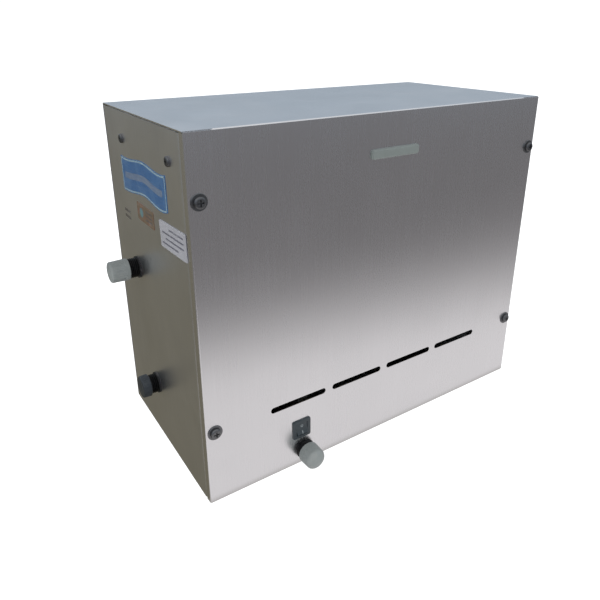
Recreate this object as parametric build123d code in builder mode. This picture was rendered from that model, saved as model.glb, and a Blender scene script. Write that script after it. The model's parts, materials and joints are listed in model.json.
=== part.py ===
from build123d import *
from math import cos, radians, sin
import os

# A wall-hung gas pool heater in a folded stainless casing, in millimetres.
# Frame: X to the right and Y to the back as seen from the front, Z up.
# Origin: centre of the casing's underside. Every piece is its own solid, in place.

os.makedirs("parts", exist_ok=True)


def save(piece, name):
    """Label a finished piece and write it as its own STEP file."""
    piece.part.label = name
    export_step(piece.part, f"parts/{name}.step")


# ------------------------------------------------------------------ driving dimensions
WIDTH = 430
DEPTH = 216
HEIGHT = 360
SHEET = 1.2  # casing sheet thickness
GAP = 0.2  # air between neighbouring casing panels

LEFT = -WIDTH / 2
RIGHT = WIDTH / 2
FRONT = -DEPTH / 2
BACK = DEPTH / 2
UNDER_TOP = HEIGHT - SHEET  # underside of the top panel

BEND = 2.0  # outside radius of the front panel's bends
RETURN = 8.0  # width of the front panel's side returns
FLANGE = 20.0  # width of the side panels' inward flanges
TRAY_FLANGE = 25.0  # height of the base tray's upturned edges
LIP = 38.0  # depth of the top panel's side flanges
LIP_INSET = 17.0  # from the casing's front and back to those flanges
SEAM = 0.8  # open seam between a side panel and the top panel

SLOT_LENGTH = 66.0
SLOT_HEIGHT = 6.5
SLOT_PITCH = 74.8
SLOT_COUNT = 4
SLOT_Z = 78.3

SCREW_X = 205.5  # panel screws, from the middle of the casing
FRONT_SCREW_Z = (80.0, 303.5)
BACK_SCREW_Z = (30.0, 180.0, 330.0)
TOP_SCREW_Y = (-72.0, 53.0)
TOP_SCREW_Z = 331.0
SCREW_HOLE = 2.1
SCREW_SHANK = 2.0

WALL_HOLE = 3.5
WALL_HOLE_X = 150.0
WALL_HOLE_LOW = 60.0
WALL_HOLE_HIGH = 320.0

SWITCH_X = -109.7
SWITCH_Z = 43.4
SWITCH_FACE = 21.5
SWITCH_BODY = 16.5

PORT_THREAD = 10.48  # half-inch pipe thread, outside radius
PORT_BORE = 7.0
PORT_HOLE = 10.7
INLET_X = -104.9
INLET_Z = 14.7
OUTLET_Y = 45.9
OUTLET_Z = 196.2
GAS_Y = 22.1
GAS_Z = 66.0

PIPE = 8.0  # water pipe, outside radius
PIPE_BORE = 6.8
GAS_PIPE = 6.0
GAS_PIPE_BORE = 5.0

STACK_X = 22.0  # middle of the burner, chamber and exchanger stack
STACK_LENGTH = 220.0
STACK_DEPTH = 134.0
STACK_WALL = 1.5
BURNER_BASE = 85.0
CHAMBER_BASE = 120.0
CHAMBER_TOP = 222.0
EXCHANGER_TOP = 266.0
HOOD_TOP = 284.0
BLOWER_TOP = 330.0

FLUE = 30.0  # outside radius of the flue spigot
FLUE_X = 57.0
FLUE_Z = 307.0
BLOWER_Y = 8.0

left_face = Plane(origin=(LEFT, 0, 0), x_dir=(0, -1, 0), z_dir=(-1, 0, 0))
right_face = Plane(origin=(RIGHT, 0, 0), x_dir=(0, 1, 0), z_dir=(1, 0, 0))
front_face = Plane(origin=(0, FRONT, 0), x_dir=(1, 0, 0), z_dir=(0, -1, 0))
back_face = Plane(origin=(0, BACK, 0), x_dir=(-1, 0, 0), z_dir=(0, 1, 0))

inlet_port = Plane(origin=(INLET_X, FRONT, INLET_Z), x_dir=(1, 0, 0), z_dir=(0, -1, 0))
outlet_port = Plane(origin=(LEFT, OUTLET_Y, OUTLET_Z), x_dir=(0, -1, 0), z_dir=(-1, 0, 0))
gas_port = Plane(origin=(LEFT, GAS_Y, GAS_Z), x_dir=(0, -1, 0), z_dir=(-1, 0, 0))


# ------------------------------------------------------------------ shared shapes
def turned(port, outline):
    """A piece turned about a port's axis from (radius, distance out of the panel) points."""
    with BuildPart() as piece:
        with BuildSketch(Plane(origin=port.origin, x_dir=port.x_dir, z_dir=-port.y_dir)):
            with BuildLine():
                Polyline(*outline, close=True)
            make_face()
        revolve(axis=Axis(port.origin, port.z_dir))
    return piece


def tube_path(path, outer, bore):
    """A pipe of round section swept along straight runs and tangent arcs."""
    with BuildPart() as piece:
        with BuildLine() as line:
            FilletPolyline(*path["points"], radius=path["radius"])
        start = Plane(origin=line.wire() @ 0, z_dir=line.wire() % 0)
        with BuildSketch(start):
            Circle(outer)
            if bore:
                Circle(bore, mode=Mode.SUBTRACT)
        sweep(path=line.wire())
    return piece


def box_between(low, high):
    """A plain block between two corners, added to the part being built."""
    size = [b - a for a, b in zip(low, high)]
    with Locations(tuple((a + b) / 2 for a, b in zip(low, high))):
        Box(*size)


HEAD_ROUND = 0.6  # a pan head's edge rounding, as a share of its height
RECESS_SPAN = 1.1  # cross recess, as shares of the head's radius and height
RECESS_WIDTH = 0.24
RECESS_DEPTH = 0.55


def pan_screw(head, height, length):
    """A pan head screw standing on the XY plane, shank down, with a cross recess."""
    with BuildPart() as piece:
        with BuildSketch():
            Circle(head)
        extrude(amount=height)
        fillet(piece.edges().group_by(Axis.Z)[-1], height * HEAD_ROUND)
        with BuildSketch(Plane.XY.offset(height)):
            Rectangle(head * RECESS_SPAN, head * RECESS_WIDTH)
            Rectangle(head * RECESS_WIDTH, head * RECESS_SPAN)
        extrude(amount=-height * RECESS_DEPTH, mode=Mode.SUBTRACT)
        with BuildSketch():
            Circle(SCREW_SHANK)
        extrude(amount=-length)
    return piece


def screw_places(face, points):
    """Places on a casing face, given as (along the face, up) pairs."""
    return [Plane(origin=face.from_local_coords((a, b, 0)), x_dir=face.x_dir, z_dir=face.z_dir)
            for a, b in points]


# ------------------------------------------------------------------ base tray
# A floor with four upturned edges; its front corners clear the side panels' joggles.
tray_side = RIGHT - SHEET - GAP
tray_front = FRONT + 2 * SHEET + 2 * GAP
tray_back = BACK - 2 * SHEET - 3 * GAP
INLET_NOTCH = 32.0
JOGGLE = 10.0

with BuildPart() as base_tray:
    box_between((-tray_side, tray_front, 0), (tray_side, tray_back, TRAY_FLANGE))
    with Locations((0, (tray_front + tray_back) / 2, SHEET + TRAY_FLANGE / 2)):
        Box(2 * tray_side - 2 * SHEET, tray_back - tray_front - 2 * SHEET, TRAY_FLANGE,
            mode=Mode.SUBTRACT)
    for side in (-1, 1):
        with Locations((side * tray_side, tray_front, TRAY_FLANGE / 2)):
            Box(2 * (SHEET + GAP), 2 * JOGGLE, TRAY_FLANGE, mode=Mode.SUBTRACT)
        with Locations((side * (tray_side - SHEET - GAP - SHEET / 2), tray_front + JOGGLE / 2,
                        TRAY_FLANGE / 2)):
            Box(SHEET, JOGGLE, TRAY_FLANGE)
    with BuildSketch(front_face):
        with Locations((INLET_X, SHEET + TRAY_FLANGE / 2)):
            Rectangle(INLET_NOTCH, TRAY_FLANGE)
    extrude(amount=-6 * SHEET, mode=Mode.SUBTRACT)
save(base_tray, "base_tray")

# ------------------------------------------------------------------ side panels
# Folded sheets drawn by their centre line in plan: a rear flange, the outer skin, a joggle
# that tucks behind the front panel's return, and a front flange that the front screws enter.
skin = LEFT + SHEET / 2
tucked = skin + SHEET + GAP
flange_front = FRONT + SHEET + GAP + SHEET / 2
flange_back = BACK - SHEET - 2 * GAP - SHEET / 2
JOGGLE_GAP = 3.4  # from the front panel's return to the joggle
JOGGLE_RUN = 2.4  # length of the joggle's slope
joggle_back = FRONT + RETURN + JOGGLE_GAP
side_height = UNDER_TOP - SEAM
FOLD = 1.2  # centre-line radius of a fold


def side_panel():
    """The left side panel without its holes."""
    with BuildPart() as piece:
        with BuildSketch():
            with BuildLine():
                FilletPolyline(
                    (skin + FLANGE, flange_back),
                    (skin, flange_back),
                    (skin, joggle_back),
                    (tucked, joggle_back - JOGGLE_RUN),
                    (tucked, flange_front),
                    (tucked + FLANGE, flange_front),
                    radius=(FOLD, FOLD, FOLD, FOLD),
                )
            trace(line_width=SHEET)
        extrude(amount=side_height)
    return piece


with BuildPart() as left_side_panel:
    add(side_panel())
    with BuildSketch(left_face):
        with Locations((-OUTLET_Y, OUTLET_Z), (-GAS_Y, GAS_Z)):
            Circle(PORT_HOLE)
        with Locations(*[(-y, TOP_SCREW_Z) for y in TOP_SCREW_Y]):
            Circle(SCREW_HOLE)
    extrude(amount=-2 * SHEET, mode=Mode.SUBTRACT)
    with BuildSketch(front_face):
        with Locations(*[(-SCREW_X, z) for z in FRONT_SCREW_Z]):
            Circle(SCREW_HOLE)
    extrude(amount=-4 * SHEET, mode=Mode.SUBTRACT)
    with BuildSketch(back_face):
        with Locations(*[(SCREW_X, z) for z in BACK_SCREW_Z]):
            Circle(SCREW_HOLE)
    extrude(amount=-4 * SHEET, mode=Mode.SUBTRACT)
save(left_side_panel, "left_side_panel")

GLAND_Y = 75.0
GLAND_Z = 45.0
GLAND_THREAD = 10.0
GLAND_BORE = 5.0

with BuildPart() as right_side_panel:
    add(mirror(side_panel().part, about=Plane.YZ, mode=Mode.PRIVATE))
    with BuildSketch(right_face):
        with Locations((GLAND_Y, GLAND_Z)):
            Circle(GLAND_THREAD + 0.1)
        with Locations(*[(y, TOP_SCREW_Z) for y in TOP_SCREW_Y]):
            Circle(SCREW_HOLE)
    extrude(amount=-2 * SHEET, mode=Mode.SUBTRACT)
    with BuildSketch(front_face):
        with Locations(*[(SCREW_X, z) for z in FRONT_SCREW_Z]):
            Circle(SCREW_HOLE)
    extrude(amount=-4 * SHEET, mode=Mode.SUBTRACT)
    with BuildSketch(back_face):
        with Locations(*[(-SCREW_X, z) for z in BACK_SCREW_Z]):
            Circle(SCREW_HOLE)
    extrude(amount=-4 * SHEET, mode=Mode.SUBTRACT)
save(right_side_panel, "right_side_panel")

# ------------------------------------------------------------------ back panel
FLUE_HOLE = FLUE + 0.6
FLUE_RING = 44.0  # outside radius of the flue flange
FLUE_SCREW_PCD = 76.0
GASKET = 1.5
FLUE_PLATE = 1.2
back_screws = [(side * SCREW_X, z) for side in (-1, 1) for z in BACK_SCREW_Z]
flue_screws = [(FLUE_SCREW_PCD / 2 * cos(radians(a)), FLUE_SCREW_PCD / 2 * sin(radians(a)))
               for a in (45, 135, 225, 315)]

with BuildPart() as back_panel:
    box_between((LEFT, BACK - SHEET, 0), (RIGHT, BACK, UNDER_TOP - GAP))
    with BuildSketch(back_face):
        with Locations((-FLUE_X, FLUE_Z)):
            Circle(FLUE_HOLE)
        with Locations(*[(a - FLUE_X, b + FLUE_Z) for a, b in flue_screws]):
            Circle(SCREW_HOLE)
        with Locations(*[(side * WALL_HOLE_X, z) for side in (-1, 1)
                         for z in (WALL_HOLE_LOW, WALL_HOLE_HIGH)]):
            Circle(WALL_HOLE)
        with Locations(*back_screws):
            Circle(SCREW_HOLE)
    extrude(amount=-SHEET, mode=Mode.SUBTRACT)
save(back_panel, "back_panel")

# ------------------------------------------------------------------ top panel
# A flat sheet over the side panels, with flanges down inside them and a lip behind the front.
lip_half = -tucked - FLANGE - 2 * SHEET
LIP_DEPTH = 14.0

with BuildPart() as top_panel:
    with BuildSketch(Plane.YZ.offset(-lip_half)):
        with BuildLine():
            FilletPolyline(
                (BACK, HEIGHT - SHEET / 2),
                (flange_front, HEIGHT - SHEET / 2),
                (flange_front, HEIGHT - LIP_DEPTH),
                radius=BEND - SHEET / 2,
            )
        trace(line_width=SHEET)
    extrude(amount=2 * lip_half)
    for side in (-1, 1):
        outer, inner = side * RIGHT, side * (lip_half - SHEET)
        box_between((min(outer, inner), flange_front + BEND, UNDER_TOP),
                    (max(outer, inner), BACK, HEIGHT))
        box_between((min(outer, inner), flange_front, UNDER_TOP),
                    (max(outer, inner), flange_front + 2 * BEND, HEIGHT))
        wall = sorted((side * tray_side, side * (tray_side - SHEET)))
        box_between((wall[0], FRONT + LIP_INSET, HEIGHT - LIP), (wall[1], BACK - LIP_INSET, HEIGHT))
    with BuildSketch(left_face):
        with Locations(*[(-y, TOP_SCREW_Z) for y in TOP_SCREW_Y]):
            Circle(SCREW_HOLE)
    extrude(amount=-WIDTH, mode=Mode.SUBTRACT)
save(top_panel, "top_panel")

# ------------------------------------------------------------------ front panel
front_height = UNDER_TOP + SHEET / 2
slot_places = [((i - (SLOT_COUNT - 1) / 2) * SLOT_PITCH, SLOT_Z) for i in range(SLOT_COUNT)]
front_screws = [(side * SCREW_X, z) for side in (-1, 1) for z in FRONT_SCREW_Z]

with BuildPart() as front_panel:
    with BuildSketch():
        with Locations((0, FRONT + RETURN / 2)):
            Rectangle(WIDTH, RETURN)
        fillet(vertices().group_by(Axis.Y)[0], BEND)
    extrude(amount=front_height)
    with BuildSketch():
        with Locations((0, FRONT + SHEET + RETURN / 2)):
            Rectangle(WIDTH - 2 * SHEET, RETURN)
        fillet(vertices().group_by(Axis.Y)[0], BEND - SHEET)
    extrude(amount=front_height, mode=Mode.SUBTRACT)
    with BuildSketch(Plane.XY.offset(UNDER_TOP - GAP)):
        with Locations((0, FRONT + SHEET + RETURN / 2)):
            Rectangle(WIDTH, RETURN)
    extrude(amount=SHEET, mode=Mode.SUBTRACT)
    with BuildSketch(front_face):
        with Locations(*slot_places):
            SlotOverall(SLOT_LENGTH, SLOT_HEIGHT)
        with Locations(*front_screws):
            Circle(SCREW_HOLE)
        with Locations((SWITCH_X, SWITCH_Z)):
            Rectangle(SWITCH_BODY + GAP, SWITCH_BODY + GAP)
        with Locations((INLET_X, INLET_Z)):
            Circle(PORT_HOLE)
    extrude(amount=-SHEET, mode=Mode.SUBTRACT)
save(front_panel, "front_panel")

# ------------------------------------------------------------------ casing screws
WASHER = 7.5
WASHER_THICKNESS = 1.0
WASHER_EDGE = 0.35
FRONT_HEAD = 5.25
FRONT_HEAD_HEIGHT = 3.0
PANEL_HEAD = 4.5
PANEL_HEAD_HEIGHT = 2.4
SCREW_LENGTH = 8.0

front_screw = pan_screw(FRONT_HEAD, FRONT_HEAD_HEIGHT, SCREW_LENGTH)
panel_screw = pan_screw(PANEL_HEAD, PANEL_HEAD_HEIGHT, SCREW_LENGTH)

with BuildPart() as front_panel_screws:
    with Locations(*screw_places(front_face.offset(WASHER_THICKNESS), front_screws)):
        add(front_screw)
save(front_panel_screws, "front_panel_screws")

with BuildPart() as front_screw_washers:
    with BuildSketch(front_face):
        with Locations(*front_screws):
            Circle(WASHER)
            Circle(SCREW_SHANK, mode=Mode.SUBTRACT)
    extrude(amount=WASHER_THICKNESS)
    chamfer(front_screw_washers.faces().sort_by(Axis.Y)[0:4].edges().filter_by(
        lambda e: abs(e.radius - WASHER) < 0.01), WASHER_EDGE)
save(front_screw_washers, "front_screw_washers")

flue_plate_face = back_face.offset(GASKET + FLUE_PLATE)

with BuildPart() as casing_screws:
    with Locations(*screw_places(left_face, [(-y, TOP_SCREW_Z) for y in TOP_SCREW_Y])):
        add(panel_screw)
    with Locations(*screw_places(right_face, [(y, TOP_SCREW_Z) for y in TOP_SCREW_Y])):
        add(panel_screw)
    with Locations(*screw_places(back_face, back_screws)):
        add(panel_screw)
    with Locations(*screw_places(flue_plate_face, [(a - FLUE_X, b + FLUE_Z) for a, b in flue_screws])):
        add(panel_screw)
save(casing_screws, "casing_screws")

# ------------------------------------------------------------------ badge and labels
BADGE_LENGTH = 60.5
BADGE_HEIGHT = 10.0
BADGE_Z = 321.0
BADGE_THICKNESS = 3.0
BADGE_CORNER = 3.0
BADGE_ROUND = 2.6
LABEL = 0.4  # thickness of a label
LABEL_CORNER = 1.5
SERVICE_AT = (-2.0, 265.0)  # centres on the left face, towards the front and up
SERVICE_SIZE = (46.0, 18.0)
PLATE_AT = (68.3, 261.0)
PLATE_SIZE = (60.5, 25.0)

with BuildPart() as front_badge:
    with BuildSketch(front_face):
        with Locations((0, BADGE_Z)):
            RectangleRounded(BADGE_LENGTH, BADGE_HEIGHT, BADGE_CORNER)
    extrude(amount=BADGE_THICKNESS)
    fillet(front_badge.faces().sort_by(Axis.Y)[0].edges(), BADGE_ROUND)
save(front_badge, "front_badge")

# The banner's wavy outline on the left face: (towards the front, height) pairs.
BANNER_TOP = [(-62.0, 313.3), (-25.0, 315.0), (6.0, 318.0), (31.0, 315.8), (61.0, 317.0)]
BANNER_BOTTOM = [(61.0, 283.6), (31.0, 281.2), (6.0, 284.2), (-25.0, 281.0), (-62.0, 277.9)]

with BuildPart() as banner_label:
    with BuildSketch(left_face):
        with BuildLine():
            Spline(*BANNER_TOP)
            Line(BANNER_TOP[-1], BANNER_BOTTOM[0])
            Spline(*BANNER_BOTTOM)
            Line(BANNER_BOTTOM[-1], BANNER_TOP[0])
        make_face()
    extrude(amount=LABEL)
save(banner_label, "banner_label")

with BuildPart() as service_label:
    with BuildSketch(left_face):
        with Locations(SERVICE_AT):
            RectangleRounded(*SERVICE_SIZE, LABEL_CORNER)
    extrude(amount=LABEL)
save(service_label, "service_label")

PLATE_TILT = 2.5  # the plate was stuck on slightly askew

with BuildPart() as rating_plate:
    with BuildSketch(left_face):
        with Locations(PLATE_AT):
            RectangleRounded(*PLATE_SIZE, LABEL_CORNER, rotation=PLATE_TILT)
    extrude(amount=2 * LABEL)
save(rating_plate, "rating_plate")

# ------------------------------------------------------------------ rocker switch
SWITCH_LIP = 1.8
SWITCH_DEPTH = 16.0
ROCKER_WIDTH = 12.6
WINDOW_WIDTH = 13.4
WINDOW_HEIGHT = 14.6
PIVOT_IN = 3.0  # rocker axis behind the panel's outer face
TRUNNION = 1.2
TRUNNION_REACH = 0.9
ROCK = 10.0  # tilt either side of level
SWITCH_CORNER = 2.0
LIP_ROUND = 0.8
SWITCH_FLOOR = 3.0
PIN_CLEARANCE = 0.05
PIN_END_GAP = 0.1
BLADE_Z = (SWITCH_Z - 4.5, SWITCH_Z + 4.5)  # terminal blades behind the switch
BLADE = (2.4, 7.0, 0.4)  # half width, length, half thickness
ROCKER_HEEL = (-3.2, 0)
ROCKER_BACK = (-2.2, 6.1)
ROCKER_TIP = (5.6, 6.0)
ROCKER_DIP = (4.5, 0)

pivot = Plane(origin=(SWITCH_X, FRONT + PIVOT_IN, SWITCH_Z), x_dir=(0, -1, 0), z_dir=(1, 0, 0))

with BuildPart() as switch_housing:
    with BuildSketch(front_face):
        with Locations((SWITCH_X, SWITCH_Z)):
            RectangleRounded(SWITCH_FACE, SWITCH_FACE, SWITCH_CORNER)
    extrude(amount=SWITCH_LIP)
    fillet(switch_housing.faces().sort_by(Axis.Y)[0].edges(), LIP_ROUND)
    with BuildSketch(front_face):
        with Locations((SWITCH_X, SWITCH_Z)):
            Rectangle(SWITCH_BODY, SWITCH_BODY)
    extrude(amount=-SWITCH_DEPTH)
    with BuildSketch(front_face.offset(SWITCH_LIP)):
        with Locations((SWITCH_X, SWITCH_Z)):
            Rectangle(WINDOW_WIDTH, WINDOW_HEIGHT)
    extrude(amount=-SWITCH_LIP - SWITCH_DEPTH + SWITCH_FLOOR, mode=Mode.SUBTRACT)
    with BuildSketch(pivot):
        Circle(TRUNNION + PIN_CLEARANCE)
    extrude(amount=WINDOW_WIDTH / 2 + TRUNNION_REACH, both=True, mode=Mode.SUBTRACT)
    for z in BLADE_Z:
        root = FRONT + SWITCH_DEPTH
        box_between((SWITCH_X - BLADE[0], root, z - BLADE[2]),
                    (SWITCH_X + BLADE[0], root + BLADE[1], z + BLADE[2]))
save(switch_housing, "switch_housing")

# The rocker's section, x forwards and y up from its axis, lies tilted with its top pressed.
tilted = Plane(origin=pivot.origin, x_dir=(0, -cos(radians(ROCK)), sin(radians(ROCK))),
               z_dir=(1, 0, 0))

with BuildPart() as switch_rocker:
    with BuildSketch(tilted):
        with BuildLine():
            Polyline(ROCKER_HEEL, (ROCKER_BACK[0], -ROCKER_BACK[1]), (ROCKER_TIP[0], -ROCKER_TIP[1]))
            ThreePointArc((ROCKER_TIP[0], -ROCKER_TIP[1]), ROCKER_DIP, ROCKER_TIP)
            Polyline(ROCKER_TIP, ROCKER_BACK, ROCKER_HEEL)
        make_face()
    extrude(amount=ROCKER_WIDTH / 2, both=True)
    with BuildSketch(tilted):
        Circle(TRUNNION)
    extrude(amount=WINDOW_WIDTH / 2 + TRUNNION_REACH - PIN_END_GAP, both=True)
save(switch_rocker, "switch_rocker")

# ------------------------------------------------------------------ the three ports
# Nipple: threaded from inside the casing out to NECK, then a smooth spigot inside the cap.
PITCH = 1.814
THREAD_DEPTH = 1.1
CREST = (0.42, 0.58)  # where a thread's crest starts and ends, as shares of the pitch
SPIGOT = 9.3
CAP_CLEARANCE = 0.08
CAP_WALL = 3.0  # least thickness of a cap's end
CAP_TAPER = 0.3
CAP_SKIRT = 4.0
CAP_EASE = 0.4
DOME_POINT = 0.7  # a point of the dome, as a share of its radius
FLUTE = 0.9  # radius of a grip flute
FLUTE_OUT = 0.5  # from the cap's side to the flute's axis
SEAL = 1.5
SEAL_RIM = 1.2
NUT_FLATS = 12.0  # half the distance across a lock nut's flats
NUT_HEIGHT = 4.8


def nipple(port, neck, spigot_out, inside, tail):
    """A threaded nipple through the panel; tail is its smooth inner end's (radius, start)."""
    outline = [(PORT_BORE, -inside), (tail[0], -inside), (tail[0], -tail[1])]
    at = -tail[1]
    outline.append((PORT_THREAD - THREAD_DEPTH, at))
    while at + PITCH < neck:
        outline += [(PORT_THREAD, at + CREST[0] * PITCH), (PORT_THREAD, at + CREST[1] * PITCH),
                    (PORT_THREAD - THREAD_DEPTH, at + PITCH)]
        at += PITCH
    outline += [(PORT_THREAD - THREAD_DEPTH, neck), (SPIGOT, neck), (SPIGOT, spigot_out),
                (PORT_BORE, spigot_out)]
    return turned(port, outline)


def cap(port, start, length, radius, ribs, dome):
    """A slip-on cap with a domed end and shallow grip flutes above a plain skirt."""
    bore = SPIGOT + CAP_CLEARANCE
    top = start + length
    shoulder = top - dome
    inner_end = top - max(dome, CAP_WALL)
    with BuildPart() as piece:
        with BuildSketch(Plane(origin=port.origin, x_dir=port.x_dir, z_dir=-port.y_dir)):
            with BuildLine():
                Spline((0, top), (radius * DOME_POINT, top - dome * (1 - DOME_POINT)),
                       (radius - CAP_TAPER, shoulder), tangents=[(1, 0), (0, -1)])
                Polyline((radius - CAP_TAPER, shoulder), (radius, start + CAP_SKIRT),
                         (radius, start + CAP_EASE), (radius - CAP_EASE, start), (bore, start),
                         (bore, inner_end), (0, inner_end), (0, top))
            make_face()
        revolve(axis=Axis(port.origin, port.z_dir))
        with BuildSketch(port.offset(start + CAP_SKIRT)):
            with PolarLocations(radius + FLUTE_OUT, ribs):
                Circle(FLUTE)
        extrude(amount=length, mode=Mode.SUBTRACT)
    return piece


def seal(port):
    """A flat washer under a port's outer shoulder."""
    with BuildPart() as piece:
        with BuildSketch(port):
            Circle(PORT_THREAD + SEAL_RIM)
            Circle(PORT_THREAD, mode=Mode.SUBTRACT)
        extrude(amount=SEAL)
    return piece


def lock_nut(port):
    """A hexagonal lock nut against the inside of a panel."""
    with BuildPart() as piece:
        with BuildSketch(port.offset(-SHEET)):
            RegularPolygon(NUT_FLATS, 6, major_radius=False)
            Circle(PORT_THREAD, mode=Mode.SUBTRACT)
        extrude(amount=-NUT_HEIGHT)
    return piece


INLET_NECK = 5.2  # from the panel to each cap
OUTLET_NECK = 10.8
GAS_NECK = 9.6
CAP_LENGTH = 19.0
CAP_RADIUS = 11.5
INLET_DOME = 6.5
OUTLET_CAP_LENGTH = 20.6
OUTLET_DOME = 3.4
GAS_CAP_LENGTH = 9.8
GAS_CAP_RADIUS = 12.2
GAS_DOME = 2.2
SPIGOT_SHORT = 7.0  # how far each spigot stops short of the end of its cap
CAP_GAP = 0.3
INSIDE = 22.0  # reach of the left ports' nipples into the casing
INLET_INSIDE = 32.0
INLET_THREAD_END = 20.0
SOCKET_END = 8.0  # radius of the inlet nipple's smooth inner end
SIDE_TAIL = (SPIGOT, 10.0)
RIBS = 24
GAS_RIBS = 12

save(nipple(inlet_port, INLET_NECK, INLET_NECK + CAP_LENGTH - SPIGOT_SHORT, INLET_INSIDE,
            (SOCKET_END, INLET_THREAD_END)), "inlet_nipple")
save(cap(inlet_port, INLET_NECK + CAP_GAP, CAP_LENGTH, CAP_RADIUS, RIBS, INLET_DOME), "water_inlet_cap")
save(cap(outlet_port, OUTLET_NECK + CAP_GAP, OUTLET_CAP_LENGTH, CAP_RADIUS, RIBS, OUTLET_DOME),
     "water_outlet_cap")
save(cap(gas_port, GAS_NECK + CAP_GAP, GAS_CAP_LENGTH, GAS_CAP_RADIUS, GAS_RIBS, GAS_DOME), "gas_inlet_cap")
save(seal(inlet_port.offset(-SHEET - SEAL)), "inlet_seal")
save(lock_nut(inlet_port.offset(-SEAL)), "inlet_lock_nut")

with BuildPart() as side_port_nipples:
    add(nipple(outlet_port, OUTLET_NECK, OUTLET_NECK + OUTLET_CAP_LENGTH - SPIGOT_SHORT, INSIDE,
               SIDE_TAIL))
    add(nipple(gas_port, GAS_NECK, GAS_NECK + GAS_CAP_LENGTH / 2, INSIDE, SIDE_TAIL))
save(side_port_nipples, "side_port_nipples")

with BuildPart() as side_port_seals:
    add(seal(outlet_port))
    add(seal(gas_port))
save(side_port_seals, "side_port_seals")

with BuildPart() as side_port_lock_nuts:
    add(lock_nut(outlet_port))
    add(lock_nut(gas_port))
save(side_port_lock_nuts, "side_port_lock_nuts")

# ------------------------------------------------------------------ water path
RISER_Y = -45.0
SOCKET = 11.5
SOCKET_START = FRONT + 22.0
SOCKET_LENGTH = 24.0
SOCKET_DEPTH = 12.0
FLOW_LOW = 130.0
FLOW_HIGH = 165.0
HEADER_LOW = 230.0
HEADER_HIGH = 260.0
HEADER_MID = (HEADER_LOW + HEADER_HIGH) / 2
HEADER_WALL = 2.0
LEFT_HEADER_X = (-124.0, -92.0)
RIGHT_HEADER_X = (136.0, 162.0)
HEADER_Y = 62.0
RISER_BEND = 14.0
OUTLET_BEND = 15.0
OUTLET_DROP_X = -160.0
SOCKET_CLEARANCE = 0.06

riser = {"points": [(INLET_X, SOCKET_START + SOCKET_LENGTH, INLET_Z), (INLET_X, RISER_Y, INLET_Z),
                    (INLET_X, RISER_Y, FLOW_LOW)], "radius": RISER_BEND}
socket = Plane(origin=(INLET_X, SOCKET_START, INLET_Z), x_dir=(1, 0, 0), z_dir=(0, -1, 0))

with BuildPart() as inlet_pipe:
    add(tube_path(riser, PIPE, PIPE_BORE))
    with BuildSketch(socket):
        Circle(SOCKET)
        Circle(PIPE_BORE, mode=Mode.SUBTRACT)
    extrude(amount=-SOCKET_LENGTH)
    with BuildSketch(socket):
        Circle(SOCKET_END + SOCKET_CLEARANCE)
    extrude(amount=-SOCKET_DEPTH, mode=Mode.SUBTRACT)
    with BuildSketch(Plane(origin=(INLET_X, RISER_Y, FLOW_HIGH))):
        Circle(PIPE)
        Circle(PIPE_BORE, mode=Mode.SUBTRACT)
    extrude(amount=HEADER_LOW - FLOW_HIGH)
save(inlet_pipe, "inlet_pipe")

# Flow switch: a block round the riser with a side pocket for the sprung paddle.
PADDLE_X = INLET_X - 13.0
PADDLE_Z = 145.0
PADDLE_PIN = 1.0
PADDLE_HUB = 2.2
PADDLE_DISC = 5.6
PADDLE_OFFSET = 0.4  # from the riser's axis to the disc's
PADDLE = 0.6  # half the paddle's thickness
PADDLE_ARM = 1.5  # half the arm's width
POCKET = 5.0
POCKET_SIZE = (17.0, 2 * POCKET, 24.0)
POCKET_X = INLET_X - 8.5
PIN_BOSS = 4.0
FLOW_BLOCK = (20.0, 14.0)  # from the riser to the block's left side, and to its other sides
FLOW_CORNER = 3.0

with BuildPart() as flow_switch_body:
    box_between((INLET_X - FLOW_BLOCK[0], RISER_Y - FLOW_BLOCK[1], FLOW_LOW),
                (INLET_X + FLOW_BLOCK[1], RISER_Y + FLOW_BLOCK[1], FLOW_HIGH))
    fillet(flow_switch_body.edges().filter_by(Axis.Z), FLOW_CORNER)
    with BuildSketch(Plane(origin=(INLET_X, RISER_Y, FLOW_LOW))):
        Circle(PIPE_BORE)
    extrude(amount=FLOW_HIGH - FLOW_LOW, mode=Mode.SUBTRACT)
    with Locations((POCKET_X, RISER_Y, PADDLE_Z + POCKET)):
        Box(*POCKET_SIZE, mode=Mode.SUBTRACT)
    with BuildSketch(Plane(origin=(PADDLE_X, RISER_Y, PADDLE_Z), x_dir=(1, 0, 0), z_dir=(0, -1, 0))):
        Circle(PADDLE_PIN + PIN_CLEARANCE)
    extrude(amount=POCKET + PIN_BOSS, both=True, mode=Mode.SUBTRACT)
save(flow_switch_body, "flow_switch_body")

with BuildPart() as flow_paddle:
    with BuildSketch(Plane(origin=(INLET_X + PADDLE_OFFSET, RISER_Y, PADDLE_Z - PADDLE))):
        Circle(PADDLE_DISC)
    extrude(amount=2 * PADDLE)
    box_between((PADDLE_X, RISER_Y - PADDLE_ARM, PADDLE_Z - PADDLE),
                (INLET_X - 2, RISER_Y + PADDLE_ARM, PADDLE_Z + PADDLE))
    with BuildSketch(Plane(origin=(PADDLE_X, RISER_Y, PADDLE_Z), x_dir=(1, 0, 0), z_dir=(0, -1, 0))):
        Circle(PADDLE_HUB)
    extrude(amount=POCKET - PADDLE, both=True)
    with BuildSketch(Plane(origin=(PADDLE_X, RISER_Y, PADDLE_Z), x_dir=(1, 0, 0), z_dir=(0, -1, 0))):
        Circle(PADDLE_PIN)
    extrude(amount=POCKET + PIN_BOSS - GAP, both=True)
save(flow_paddle, "flow_paddle")

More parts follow.
